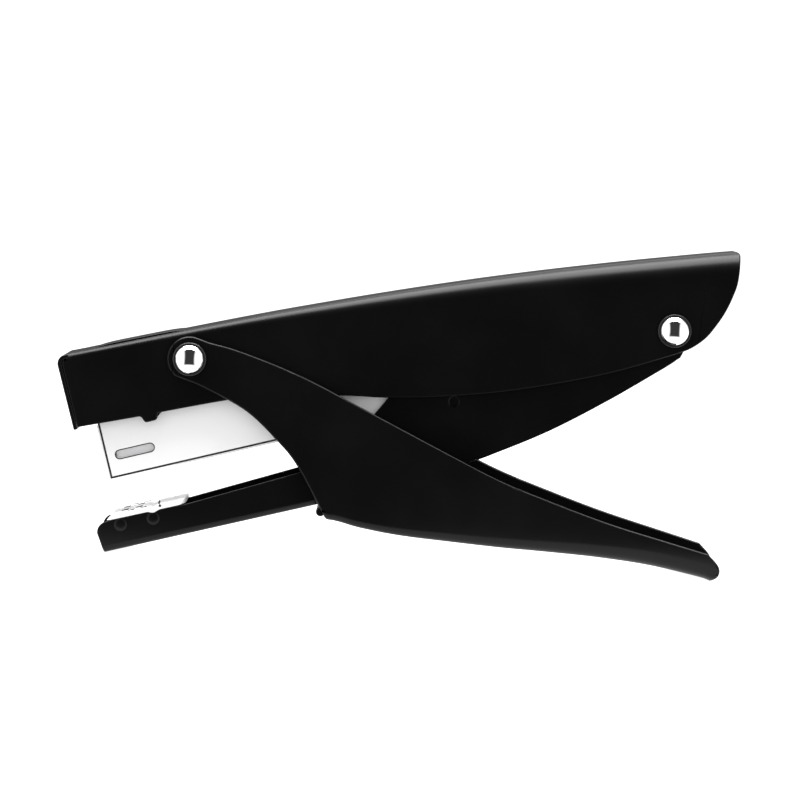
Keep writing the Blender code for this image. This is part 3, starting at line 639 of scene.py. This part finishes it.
def handle_outline():
    ear = arc(FRONT_PIVOT, EAR_RADIUS, 76.0, 232.0, 24)
    front = smooth(in_mm([(-50.0, 42.7), (-45.6, 41.1), (-35.5, 36.05), (-27.75, 29.25), (-22.5, 23.2),
                          (-15.1, 10.6)]), 8)
    below = in_mm([(-15.1, -3.0), (77.4, -3.0)])
    tip = smooth(in_mm([(78.1, 0.02), (79.5, 1.2), (79.95, 2.9), (79.2, 4.6), (76.9, 6.9)]), 6)
    top = smooth(in_mm([(76.9, 6.9), (67.6, 9.4), (53.0, 13.35), (38.3, 18.15), (26.1, 22.6), (11.4, 29.3),
                        (-4.8, 36.9), (-22.3, 44.95), (-36.9, 50.15), (-45.0, 52.1)]), 6)
    return ear + front + below + tip + top[1:]


def build_handle(look):
    stations = []
    for x in spaced(-58.0, 81.0, 1.5):
        stations.append((x * MM, interpolate(x, HANDLE_WEB) * MM, interpolate(x, HANDLE_HALF) * MM,
                         interpolate(x, HANDLE_BEND) * MM, interpolate(x, HANDLE_WALL) * MM,
                         math.radians(max(0.0, interpolate(x, HANDLE_TILT)))))
    handle = channel("handle_pressing", stations, 1, HANDLE_SHEET)
    side_view = [handle_outline(), circle(FRONT_PIVOT, HOLE_RADIUS)]
    combine(handle, flat_solid("handle_side_view", side_view, HANDLE_CUT_WIDTH), "INTERSECT")
    soften(handle, HANDLE_EDGE, segments=3)
    paint_with(handle, look["paint"])
    lip_half = EAR_HALF - LIP_INSET
    ends = [(LIP_CENTRE[0], y, LIP_CENTRE[1]) for y in (-lip_half, lip_half)]
    lip = bar("handle_lip", *ends, LIP_RADIUS)
    soften(lip, LIP_EDGE, segments=3, angle=60.0)
    paint_with(lip, look["paint"])
    handle = join("handle_pressing", [handle, lip])
    stands_for(handle, "handle", "black_paint", "lower_handle")


# ---------------------------------------------------------------- anvil arm and anvil

ARM_FRONT = (-68.3 * MM, 0.0 * MM)
ARM_SLOPE = math.tan(math.radians(15.4))
ARM_WEB_STRAIGHT_TO = -22.0 * MM
ARM_WEB_END = 16.0 * MM
WALL_TOP_FRONT = (-68.2 * MM, 7.58 * MM)
WALL_TOP_SLOPE = 0.269
WALL_TOP_BREAK = -49.0 * MM
WALL_TOP_REAR_SLOPE = 0.33
ANVIL_FRONT = -68.0 * MM
ANVIL_REAR = -49.2 * MM
ANVIL_THICKNESS = 1.2 * MM
ANVIL_HALF = 8.9 * MM
ANVIL_CORNER = 2.2 * MM
ANVIL_CLIMB = math.atan(WALL_TOP_SLOPE)
ARM_BEND = 1.7 * MM
ARM_WALL_LOW = 24.0 * MM
ARM_WALL_HIGH = 52.0 * MM
ARM_WALL_CHANGE = -10.0 * MM
ARM_EDGE = 0.22 * MM
SPRING_HOLE = (14.25 * MM, 40.5 * MM)
SPRING_HOLE_RADIUS = 1.25 * MM
CRIMP_X = -56.8 * MM
CRIMP_REACH = 1.6 * MM
CRIMP_DEPTH = 0.5 * MM

# Press marks as (x, drop from the wall's upper edge).
STAKES = ((-64.6 * MM, 1.55 * MM), (-56.8 * MM, 1.75 * MM))
STAKE_RADIUS = 1.55 * MM
STAKE_RISE = 0.28 * MM
STAKE_ROOT = -0.3 * MM

# Forming pockets as (x, radius of the scoop, place across), cut in pairs.
POCKETS = ((-64.0 * MM, 3.4 * MM, 3.4 * MM), (-60.6 * MM, 2.6 * MM, 3.4 * MM),
           (-62.3 * MM, 2.2 * MM, 7.2 * MM), (-59.4 * MM, 1.9 * MM, 7.0 * MM))
POCKET_HALF = 0.8 * MM
POCKET_LIFT = 0.86
GROOVE_RADIUS = 0.34 * MM
GROOVE_OFFSET = 0.7 * MM
GROOVE_LEAN = 0.9 * MM
GROOVE_LIFT = 0.05 * MM


def arm_web(x):
    """Height of the arm's web: straight at the front, then bending up a little."""
    straight = ARM_FRONT[1] + (x - ARM_FRONT[0]) * ARM_SLOPE
    if x <= ARM_WEB_STRAIGHT_TO:
        return straight
    return straight + 0.00055 * ((x - ARM_WEB_STRAIGHT_TO) / MM) ** 2 * MM


def arm_wall_top(x):
    """Height of the arm walls' upper edge in front of the cover: under the anvil, then a steeper rise."""
    front_x, front_z = WALL_TOP_FRONT
    under_anvil = front_z + (min(x, WALL_TOP_BREAK) - front_x) * WALL_TOP_SLOPE
    return under_anvil + max(0.0, x - WALL_TOP_BREAK) * WALL_TOP_REAR_SLOPE


def crimp_dip(x):
    """How far the anvil and the wall edge below it dip at the crimp."""
    t = abs(x - CRIMP_X) / CRIMP_REACH
    return CRIMP_DEPTH * 0.5 * (1 + math.cos(math.pi * t)) if t < 1 else 0.0


def arm_outline():
    front = arc((ARM_FRONT[0] + 0.7 * MM, 5.0 * MM), 2.6 * MM, 105.0, 188.0, 12)
    bottom = [(ARM_FRONT[0], 0.0), (-40.0 * MM, -6.0 * MM), (ARM_WEB_END, 17.0 * MM)]
    rear_edge = smooth(in_mm([(17.0, 25.3), (23.2, 27.8), (37.3, 34.4), (51.3, 42.5), (64.1, 50.8),
                              (67.4, 53.2)]), 6)
    around = arc((REAR_PIVOT[0] - 2.0 * MM, REAR_PIVOT[1]), 6.3 * MM, -20.0, 100.0, 16)
    crown = in_mm([(30.0, 58.5), (4.5, 48.6)])
    step = in_mm([(-1.45, 40.9), (-10.4, 29.2)])
    shelf = [(x, arm_wall_top(x)) for x in (-15.0 * MM, WALL_TOP_BREAK)]
    for x in reversed(spaced(CRIMP_X - CRIMP_REACH, CRIMP_X + CRIMP_REACH, 0.3 * MM)):
        shelf.append((x, arm_wall_top(x) - crimp_dip(x)))
    shelf.append((-66.0 * MM, arm_wall_top(-66.0 * MM)))
    return front + bottom + rear_edge + [(68.0 * MM, 53.6 * MM)] + around + crown + step + shelf


def stake_mark(name, x, z, side):
    """A shallow round press mark on the arm's wall, where the anvil is staked."""
    profile = [(0.0, STAKE_RISE)]
    for t in (0.3, 0.5, 0.7, 0.85, 0.95, 1.0):
        profile.append((STAKE_RADIUS * t, STAKE_RISE * (1 - t ** 4)))
    profile += [(STAKE_RADIUS, STAKE_ROOT), (0.0, STAKE_ROOT)]
    return shade(turned(name, profile, (x, z), side * ARM_HALF, side))


def build_arm(look):
    xs = spaced(-71.0 * MM, 20.0 * MM, 2.0 * MM)
    stations = []
    for x in xs:
        height = ARM_WALL_LOW if x < ARM_WALL_CHANGE else ARM_WALL_HIGH
        stations.append((x, arm_web(x), ARM_HALF, ARM_BEND, height, 0.0))
    stations.append((74.0 * MM, 20.0 * MM, ARM_HALF, ARM_BEND, ARM_WALL_HIGH, 0.0))
    arm = channel("arm_pressing", stations, 1, ARM_SHEET)
    side_view = [arm_outline(), circle(REAR_PIVOT, HOLE_RADIUS)]
    combine(arm, flat_solid("arm_side_view", side_view, CUT_WIDTH), "INTERSECT")
    for side in (-1, 1):
        start = (SPRING_HOLE[0], side * (ARM_HALF - 0.7 * MM), SPRING_HOLE[1])
        end = (SPRING_HOLE[0], side * (ARM_HALF + MM), SPRING_HOLE[1])
        combine(arm, bar("spring_hole", start, end, SPRING_HOLE_RADIUS))
    soften(arm, ARM_EDGE)
    paint_with(arm, look["paint"])
    marks = []
    for x, drop in STAKES:
        for side in (-1, 1):
            mark = stake_mark(f"stake_{len(marks)}", x, arm_wall_top(x) - drop, side)
            marks.append(paint_with(mark, look["paint"]))
    arm = join("arm_pressing", [arm, *marks])
    stands_for(arm, "arm", "black_paint", "anvil_arm")
    build_anvil(look)


def anvil_top(x):
    return arm_wall_top(x) + GAP + ANVIL_THICKNESS / math.cos(ANVIL_CLIMB)


def anvil_blank():
    """The anvil's plate: pointed front, dip at the crimp, rounded rear corners."""
    normal = Vector((-math.sin(ANVIL_CLIMB), math.cos(ANVIL_CLIMB)))
    xs = spaced(ANVIL_FRONT + 0.9 * MM, ANVIL_REAR, 0.3 * MM)
    low = [(x, arm_wall_top(x) + GAP - crimp_dip(x)) for x in xs]
    high = [tuple(Vector(p) + normal * ANVIL_THICKNESS) for p in low]
    tip = [(ANVIL_FRONT, arm_wall_top(ANVIL_FRONT) + GAP + 0.15 * MM)]
    plate = flat_solid("anvil", [tip + low + list(reversed(high[2:]))], 2 * ANVIL_HALF)

    rear = ANVIL_REAR - ANVIL_CORNER
    rim = ANVIL_HALF - ANVIL_CORNER
    plan = [(ANVIL_FRONT - MM, -ANVIL_HALF), (ANVIL_FRONT - MM, ANVIL_HALF)]
    plan += arc((rear, rim), ANVIL_CORNER, 90.0, 0.0, 10)
    plan += arc((rear, -rim), ANVIL_CORNER, 0.0, -90.0, 10)
    cutter = flat_solid("anvil_plan", [plan], CUT_WIDTH)
    cutter.data.transform(Matrix.Rotation(-math.pi / 2, 4, "X"))
    cutter.data.transform(Matrix.Translation((0.0, 0.0, 12.0 * MM)))
    combine(plate, cutter, "INTERSECT")
    soften(plate, 0.16 * MM, angle=50.0)
    return plate


def cut_pockets(plate, look):
    """The hollows that turn a staple's legs; their faces are painted dark and dull, as painted shade in the
    hollows.
    """
    for x, radius, across in POCKETS:
        for side in (-1, 1):
            middle = Vector((x, side * across, anvil_top(x) + radius * POCKET_LIFT))
            reach = Vector((POCKET_HALF, 0, 0))
            scoop = bar("scoop", middle - reach, middle + reach, radius, 48)
            combine(plate, paint_with(scoop, look["painted_hollow_shade"]))


def cut_grooves(plate, look):
    """Two fine grooves across the crimp, leaning opposite ways; their faces carry the same painted shade as
    the pockets.
    """
    height = anvil_top(CRIMP_X) + GROOVE_LIFT
    across = ANVIL_HALF + MM
    for way in (-1, 1):
        x = CRIMP_X + way * GROOVE_OFFSET
        lean = -way * GROOVE_LEAN
        ends = [(x - lean, -across, height), (x + lean, across, height)]
        groove = bar("crimp_groove", *ends, GROOVE_RADIUS, 16)
        combine(plate, paint_with(groove, look["painted_hollow_shade"]))


def build_anvil(look):
    plate = paint_with(anvil_blank(), look["nickel"])
    cut_pockets(plate, look)
    cut_grooves(plate, look)
    stands_for(plate, "arm", "nickel_plate", "anvil_plate")


# ---------------------------------------------------------------- magazine and what it carries

PANEL_PROUD = 0.2 * MM
PANEL_INSET = 0.95 * MM
# How far the dark layer of painted shade shows beyond the panel's edge.
EDGE_SHADE_WIDTH = 0.48 * MM
WINDOW_CENTRE = (7.65 * MM, 5.75 * MM)
WINDOW_HALF = 4.95 * MM
WINDOW_RADIUS = 1.2 * MM
WINDOW_RIM = 0.26 * MM
MAGAZINE_EDGE = 0.12 * MM
PANEL_EDGE = 0.06 * MM
STOP_LOW = (RAIL_REAR + 0.3 * MM, -6.2 * MM, 0.95 * MM)
STOP_HIGH = (RAIL_REAR + 1.5 * MM, 6.2 * MM, 12.4 * MM)
PUSHER_TOP = 12.6 * MM
FOLLOWER_TURNS = 62
FOLLOWER_STEPS = 16
FOLLOWER_RADIUS = 2.1 * MM
FOLLOWER_WIRE = 0.28 * MM


def magazine_side(inset):
    """Side view of the magazine's walls in its own frame; inset draws it in from the front and below."""
    ear = arc(MAGAZINE_AXLE, 5.0 * MM, -62.0, 90.0, 16)
    rear_low = [(126.0 * MM, inset), (127.0 * MM, 1.2 * MM + inset)]
    top = in_mm([(127.0, 10.4), (104.0, 14.4), (0.8, 14.4)])
    if inset:
        top[-1] = (inset, 14.4 * MM)
        front = [(inset, inset)]
    else:
        front = in_mm([(0.0, 13.6), (0.0, 0.0)])
    return front + rear_low + ear + top


def slot_outline(centre, half_length, radius):
    left = arc((centre[0] - half_length + radius, centre[1]), radius, 90.0, 270.0, 16)
    right = arc((centre[0] + half_length - radius, centre[1]), radius, -90.0, 90.0, 16)
    return left + right


def build_magazine(look):
    """The folded channel, with a slightly raised panel on each wall and a dark band of painted shade round
    the panel's edge.
    """
    half = MAGAZINE_HALF - PANEL_PROUD
    stations = [(x * MM, 0.0, half, 0.9 * MM, 16.0 * MM, 0.0)
                for x in (-1.0, 30.0, 60.0, 90.0, 120.0, 147.0)]
    core = channel("magazine_core", stations, 1, MAGAZINE_SHEET - PANEL_PROUD)
    window = slot_outline(WINDOW_CENTRE, WINDOW_HALF, WINDOW_RADIUS)
    inner_window = slot_outline(WINDOW_CENTRE, WINDOW_HALF - WINDOW_RIM, WINDOW_RADIUS - WINDOW_RIM)
    side_view = [magazine_side(0.0), inner_window, circle(MAGAZINE_AXLE, HOLE_RADIUS)]
    combine(core, flat_solid("magazine_side_view", side_view, 20.0 * MM), "INTERSECT")
    front_wall = block("magazine_front_wall", (0.0, -half + 0.2 * MM, 0.4 * MM),
                       (MAGAZINE_SHEET, half - 0.2 * MM, 13.6 * MM))
    combine(core, front_wall, "UNION")
    combine(core, block("staple_exit", (1.4 * MM, -6.3 * MM, -MM), (2.7 * MM, 6.3 * MM, 2 * MM)))
    combine(core, block("floor_rear_opening", (127.0 * MM, -6.4 * MM, -MM), (150.0 * MM, 6.4 * MM, 3 * MM)))
    soften(core, MAGAZINE_EDGE, angle=50.0)
    paint_with(core, look["nickel"])
    parts = [core]
    for side in (-1, 1):
        axle = circle(MAGAZINE_AXLE, HOLE_RADIUS + 0.2 * MM)
        # The first layer is painted dark: painted shade that shows as a band round the raised panel and
        # round the window.
        for inset, hole, top, material in ((PANEL_INSET - EDGE_SHADE_WIDTH, inner_window, 0.5, "painted_edge_shade"),
                                           (PANEL_INSET, window, 1.0, "nickel")):
            outer = half + PANEL_PROUD * top
            inner = half - 0.1 * MM
            layer = flat_solid("panel_layer", [magazine_side(inset), hole, axle], outer - inner,
                               y=side * (outer + inner) / 2)
            soften(layer, PANEL_EDGE, angle=50.0)
            parts.append(paint_with(layer, look[material]))
    magazine = placed(join("magazine_channel_piece", parts), MAGAZINE_PLACE)
    stands_for(magazine, "magazine", "nickel_plate", "magazine_channel")


def build_rail(look):
    stations = [(x, RAIL_TOP, RAIL_HALF, 0.6 * MM, RAIL_TOP - MAGAZINE_SHEET - GAP, 0.0)
                for x in spaced(RAIL_FRONT, RAIL_REAR, 30.0 * MM)]
    rail = channel("rail", stations, -1, 0.7 * MM)
    soften(rail, MAGAZINE_EDGE, angle=50.0)
    placed(paint_with(rail, look["steel"]), MAGAZINE_PLACE)
    stands_for(rail, "magazine", "steel", "staple_rail")

    stop = block("rail_end_stop", STOP_LOW, STOP_HIGH)
    soften(stop, 0.25 * MM, segments=3)
    placed(paint_with(stop, look["steel"]), MAGAZINE_PLACE)
    stands_for(stop, "magazine", "steel", "rail_stop")

    rod = bar("guide_rod_piece", (5.0 * MM, 0.0, ROD_UP), (RAIL_REAR, 0.0, ROD_UP), ROD_RADIUS, 48)
    soften(rod, 0.2 * MM, segments=3, angle=60.0)
    placed(paint_with(rod, look["steel"]), MAGAZINE_PLACE)
    stands_for(rod, "magazine", "steel", "guide_rod")


def build_pusher(look):
    """The follower: a folded saddle over the rail with a bored back."""
    pusher = block("pusher_saddle", (RAIL_FRONT + 0.1 * MM, -6.35 * MM, 1.0 * MM),
                   (RAIL_FRONT + PUSHER_LENGTH, 6.35 * MM, PUSHER_TOP))
    combine(pusher, block("rail_room", (0.0, -RAIL_HALF - GAP, 0.0),
                          (30.0 * MM, RAIL_HALF + GAP, RAIL_TOP + GAP)))
    combine(pusher, block("back_room", (RAIL_FRONT + 7.0 * MM, -9.0 * MM, RAIL_TOP + 1.0 * MM),
                          (30.0 * MM, 9.0 * MM, 20.0 * MM)))
    combine(pusher, bar("rod_room", (0.0, 0.0, ROD_UP), (68.0 * MM, 0.0, ROD_UP), ROD_RADIUS + 0.3 * MM, 32))
    soften(pusher, 0.15 * MM, angle=50.0)
    placed(paint_with(pusher, look["steel"]), MAGAZINE_PLACE)
    stands_for(pusher, "pusher", "steel", "pusher")


def build_follower_spring(look):
    """The coil round the guide rod, which the pusher squashes as it goes back; here it is built at one
    length and moves with the magazine.
    """
    front = RAIL_FRONT + 7.4 * MM
    rear = RAIL_REAR - 0.3 * MM
    points = []
    for i in range(FOLLOWER_TURNS * FOLLOWER_STEPS + 1):
        angle = 2 * math.pi * i / FOLLOWER_STEPS
        along = front + (rear - front) * i / (FOLLOWER_TURNS * FOLLOWER_STEPS)
        points.append((along, FOLLOWER_RADIUS * math.cos(angle), ROD_UP + FOLLOWER_RADIUS * math.sin(angle)))
    spring = wire("follower_spring", points, FOLLOWER_WIRE)
    placed(paint_with(spring, look["spring"]), MAGAZINE_PLACE)
    stands_for(spring, "magazine", "spring_steel", "pusher_spring")
    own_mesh(spring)


# ---------------------------------------------------------------- rivets, washers, sleeves


def head_profile():
    """The domed head, from its crown to its rim, with a small rounded edge."""
    crown = HEAD_HEIGHT - HEAD_RIM
    dome_radius = (HEAD_RADIUS ** 2 + crown ** 2) / (2 * crown)
    half_angle = math.degrees(math.asin(HEAD_RADIUS / dome_radius))
    dome = arc((0.0, HEAD_HEIGHT - dome_radius), dome_radius, 90.0, 90.0 - half_angle, 28)
    dome[0] = (0.0, HEAD_HEIGHT)
    return dome + [(HEAD_RADIUS, 0.06 * MM), (HEAD_RADIUS - 0.06 * MM, 0.0)]


def build_rivet(look, label, pivot, outer_half):
    head_y = outer_half + 2 * GAP + WASHER_THICKNESS
    reach = 2 * head_y - 0.3 * MM
    bore_floor = -reach + RIVET_BORE_DEPTH
    pin_end = -RIVET_BORE_DEPTH + 0.6 * MM
    post = head_profile() + [(SHANK_RADIUS, 0.0), (SHANK_RADIUS, -reach), (RIVET_BORE_RADIUS, -reach),
                             (RIVET_BORE_RADIUS, bore_floor), (0.0, bore_floor)]
    cap = head_profile() + [(PIN_RADIUS, 0.0), (PIN_RADIUS, pin_end), (0.0, pin_end)]
    for name, node, profile, y, way in (("rivet_near", "rivet_post", post, -head_y, -1),
                                        ("rivet_far", "rivet_cap", cap, head_y, 1)):
        piece = shade(turned(f"{label}_{name}", profile, pivot, y, way))
        stands_for(paint_with(piece, look["chrome"]), "cover", "chrome", f"{label}_{node}")
    low = outer_half + GAP
    high = low + WASHER_THICKNESS
    for side, y_low, y_high in (("near", -high, -low), ("far", low, high)):
        washer = ring(f"{label}_washer_{side}_piece", HOLE_RADIUS, WASHER_RADIUS, pivot, y_low, y_high,
                      0.3 * MM)
        stands_for(paint_with(washer, look["oxide"]), "cover", "black_oxide", f"{label}_washer_{side}")


def build_sleeves(look):
    for label, pivot, inner in (("front", FRONT_PIVOT, COVER_HALF - COVER_SHEET - 2 * GAP),
                                ("rear", REAR_PIVOT, MAGAZINE_HALF - MAGAZINE_SHEET - 2 * GAP)):
        sleeve = ring(f"{label}_spacer", HOLE_RADIUS, SLEEVE_RADIUS, pivot, -inner, inner, 0.15 * MM)
        stands_for(paint_with(sleeve, look["steel"]), "cover", "steel", f"{label}_sleeve")


# ---------------------------------------------------------------- driver and return springs


BLADE_LOW = (1.7 * MM, -6.2 * MM, 7.6 * MM)
BLADE_HIGH = (2.3 * MM, 6.2 * MM, 28.0 * MM)
HOLDER_WIDTH = 17.0 * MM
SPRING_WIRE = 0.55 * MM
SPRING_PITCH = 1.3 * MM
SPRING_COIL = SLEEVE_RADIUS + 0.3 * MM + SPRING_WIRE
SPRING_STEPS = 32


def build_driver(look):
    """The blade and the block that holds it, both fixed in the cover."""
    blade = block("driver_blade_piece", BLADE_LOW, BLADE_HIGH)
    soften(blade, 0.1 * MM)
    placed(paint_with(blade, look["steel"]), MAGAZINE_PLACE)
    stands_for(blade, "cover", "steel", "driver_blade")
    side = in_mm([(2.6, 22.2), (9.5, 22.2), (9.5, 27.6), (2.6, 28.0)])
    holder = flat_solid("driver_holder", [side], HOLDER_WIDTH)
    soften(holder, 0.4 * MM, segments=3)
    placed(paint_with(holder, look["oxide"]), MAGAZINE_PLACE)
    stands_for(holder, "cover", "black_oxide", "driver_block")


def return_spring(name, look, y_start, y_way, leg_up_to, leg_down_to, turns, pushed_body, node):
    """A torsion spring about the rear pivot; the leg that it pushes with turns with what it pushes."""
    centre = Vector((REAR_PIVOT[0], 0.0, REAR_PIVOT[1]))
    points = [Vector((leg_up_to[0], y_start, leg_up_to[1]))]
    for i in range(turns * SPRING_STEPS + SPRING_STEPS // 2 + 1):
        angle = math.pi / 2 + 2 * math.pi * i / SPRING_STEPS
        y = y_start + y_way * SPRING_PITCH * i / SPRING_STEPS
        points.append(centre + Vector((SPRING_COIL * math.cos(angle), y, SPRING_COIL * math.sin(angle))))
    coil = wire(name + "_coil", points, SPRING_WIRE)
    stands_for(paint_with(coil, look["spring"]), "cover", "spring_steel", node)
    end = Vector((leg_down_to[0], points[-1].y, leg_down_to[1]))
    leg = wire(name + "_leg", [points[-1], end], SPRING_WIRE)
    paint_with(leg, look["spring"])
    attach(leg, pushed_body)


def build_return_springs(look):
    return_spring("arm_return_spring", look, -5.2 * MM, 1, (34.0 * MM, 70.6 * MM), (13.0 * MM, 25.6 * MM),
                  3, "arm", "arm_spring")
    target = MAGAZINE_PLACE @ Vector((RAIL_REAR + 0.9 * MM, 0.0, 13.25 * MM))
    return_spring("magazine_return_spring", look, 5.2 * MM, -1, (44.0 * MM, 72.2 * MM),
                  (target.x, target.z), 2, "magazine", "magazine_spring")


# ---------------------------------------------------------------- stage, light, camera

FLOOR_WIDTH = 1.6
FLOOR_FRONT = 0.03
FLOOR_BACK = 0.8
FLOOR_GLOW = 1.0
FLOOR_DROP = 0.02 * MM


def build_stage():
    """A plain white light table that ends just in front of the stapler.

    It glows evenly, so what stands on it hardly casts a shadow.
    """
    mesh = bpy.data.meshes.new("floor")
    bm = bmesh.new()
    bmesh.ops.create_grid(bm, x_segments=1, y_segments=1, size=0.5)
    bmesh.ops.scale(bm, verts=bm.verts, vec=(FLOOR_WIDTH, FLOOR_BACK + FLOOR_FRONT, 1.0))
    bm.to_mesh(mesh)
    bm.free()
    material, tree, shader = shader_of("light_table")
    tree.links.new(tint(tree, noise(tree, 1.5, 1.0), (0.20, 0.20, 0.20), (0.22, 0.22, 0.22)),
                   shader.inputs["Base Color"])
    shader.inputs["Roughness"].default_value = 0.9
    shader.inputs["Specular IOR Level"].default_value = 0.1
    shader.inputs["Emission Color"].default_value = (1.0, 1.0, 1.0, 1.0)
    shader.inputs["Emission Strength"].default_value = FLOOR_GLOW
    floor = finish("floor", mesh, [material])
    floor.location = (0.0, (FLOOR_BACK - FLOOR_FRONT) / 2, -FLOOR_DROP)


STUDIO_WHITE = (1.3, 1.3, 1.3, 1.0)
WALL_DARK = (0.04, 0.04, 0.04, 1.0)

# Edges of the dark walls along each axis of the direction looked in, as (still light, fully dark).
FRONT_WALL_NEAR = (-0.25, -0.45)
FRONT_WALL_LEFT = (-0.62, -0.42)
FRONT_WALL_RIGHT = (0.62, 0.42)
FRONT_WALL_BOTTOM = (-0.66, -0.50)
BACK_WALL_NEAR = (0.45, 0.75)
BACK_WALL_TOP = (0.42, 0.22)

SOFTBOX_LENGTH = 1.4
SOFTBOX_DEPTH = 1.0
SOFTBOX_POWER = 44.0
SOFTBOX_PLACE = (0.0, 0.05, 1.1)


def world_band(tree, source, edges):
    node = tree.nodes.new("ShaderNodeMapRange")
    node.interpolation_type = "SMOOTHSTEP"
    node.inputs["From Min"].default_value = edges[0]
    node.inputs["From Max"].default_value = edges[1]
    tree.links.new(source, node.inputs["Value"])
    return node.outputs["Result"]


def of_two(tree, operation, first, second):
    node = tree.nodes.new("ShaderNodeMath")
    node.operation = operation
    tree.links.new(first, node.inputs[0])
    tree.links.new(second, node.inputs[1])
    return node.outputs["Value"]


def dark_walls(tree):
    """How dark the studio is in each direction: a wall before the stapler and a low one behind it."""
    place = tree.nodes.new("ShaderNodeTexCoord")
    split = tree.nodes.new("ShaderNodeSeparateXYZ")
    tree.links.new(place.outputs["Generated"], split.inputs["Vector"])
    front_wall = world_band(tree, split.outputs["Y"], FRONT_WALL_NEAR)
    for axis, edges in (("X", FRONT_WALL_LEFT), ("X", FRONT_WALL_RIGHT), ("Z", FRONT_WALL_BOTTOM)):
        front_wall = of_two(tree, "MULTIPLY", front_wall, world_band(tree, split.outputs[axis], edges))
    back = world_band(tree, split.outputs["Y"], BACK_WALL_NEAR)
    low = world_band(tree, split.outputs["Z"], BACK_WALL_TOP)
    return of_two(tree, "MAXIMUM", front_wall, of_two(tree, "MULTIPLY", back, low))


def build_light():
    """An even white studio and one softbox overhead.

    The dark walls show only in reflections: they darken the sheen of the black paint, and give no shade.
    """
    world = bpy.data.worlds.new("studio")
    bpy.context.scene.world = world
    world.use_nodes = True
    tree = world.node_tree
    rays = tree.nodes.new("ShaderNodeLightPath")
    reflected = of_two(tree, "MULTIPLY", dark_walls(tree), rays.outputs["Is Glossy Ray"])
    mix = tree.nodes.new("ShaderNodeMix")
    mix.data_type = "RGBA"
    mix.inputs["A"].default_value = STUDIO_WHITE
    mix.inputs["B"].default_value = WALL_DARK
    tree.links.new(reflected, mix.inputs["Factor"])
    tree.links.new(mix.outputs["Result"], tree.nodes["Background"].inputs["Color"])

    lamp = bpy.data.lights.new("overhead_softbox", "AREA")
    lamp.shape = "RECTANGLE"
    lamp.size = SOFTBOX_LENGTH
    lamp.size_y = SOFTBOX_DEPTH
    lamp.energy = SOFTBOX_POWER
    softbox = bpy.data.objects.new("overhead_softbox", lamp)
    softbox.location = SOFTBOX_PLACE
    bpy.context.scene.collection.objects.link(softbox)


CAMERA_DISTANCE = 0.79
CAMERA_ELEVATION = math.radians(4.2)
CAMERA_ROLL = math.radians(2.713)
VIEW_WIDTH = 0.19185
SENSOR = 36.0
CAMERA_TARGET = (1.25 * MM, -COVER_HALF, 40.4 * MM)


def build_camera():
    """Level with the stapler's near side, a little above, turned so that the stapler's base slopes."""
    target = Vector(CAMERA_TARGET)
    right = Vector((math.cos(CAMERA_ROLL), 0.0, math.sin(CAMERA_ROLL)))
    upright = Vector((-math.sin(CAMERA_ROLL), 0.0, math.cos(CAMERA_ROLL)))
    across = Vector((0.0, 1.0, 0.0))
    ahead = across * math.cos(CAMERA_ELEVATION) - upright * math.sin(CAMERA_ELEVATION)
    up = upright * math.cos(CAMERA_ELEVATION) + across * math.sin(CAMERA_ELEVATION)
    data = bpy.data.cameras.new("camera")
    data.sensor_width = SENSOR
    data.lens = SENSOR * CAMERA_DISTANCE / VIEW_WIDTH
    data.clip_start = 0.01
    data.clip_end = 20.0
    camera = bpy.data.objects.new("camera", data)
    turn = Matrix((right, up, -ahead)).transposed().to_4x4()
    camera.matrix_world = Matrix.Translation(target - ahead * CAMERA_DISTANCE) @ turn
    bpy.context.scene.collection.objects.link(camera)
    bpy.context.scene.camera = camera


def main():
    look = make_materials()
    build_camera()
    build_light()
    build_stage()
    build_cover(look)
    build_handle(look)
    build_arm(look)
    build_magazine(look)
    build_rail(look)
    build_pusher(look)
    build_follower_spring(look)
    build_rivet(look, "front", FRONT_PIVOT, EAR_HALF)
    build_rivet(look, "rear", REAR_PIVOT, COVER_HALF)
    build_sleeves(look)
    build_driver(look)
    build_return_springs(look)
    bpy.context.scene.view_settings.view_transform = "Standard"


main()
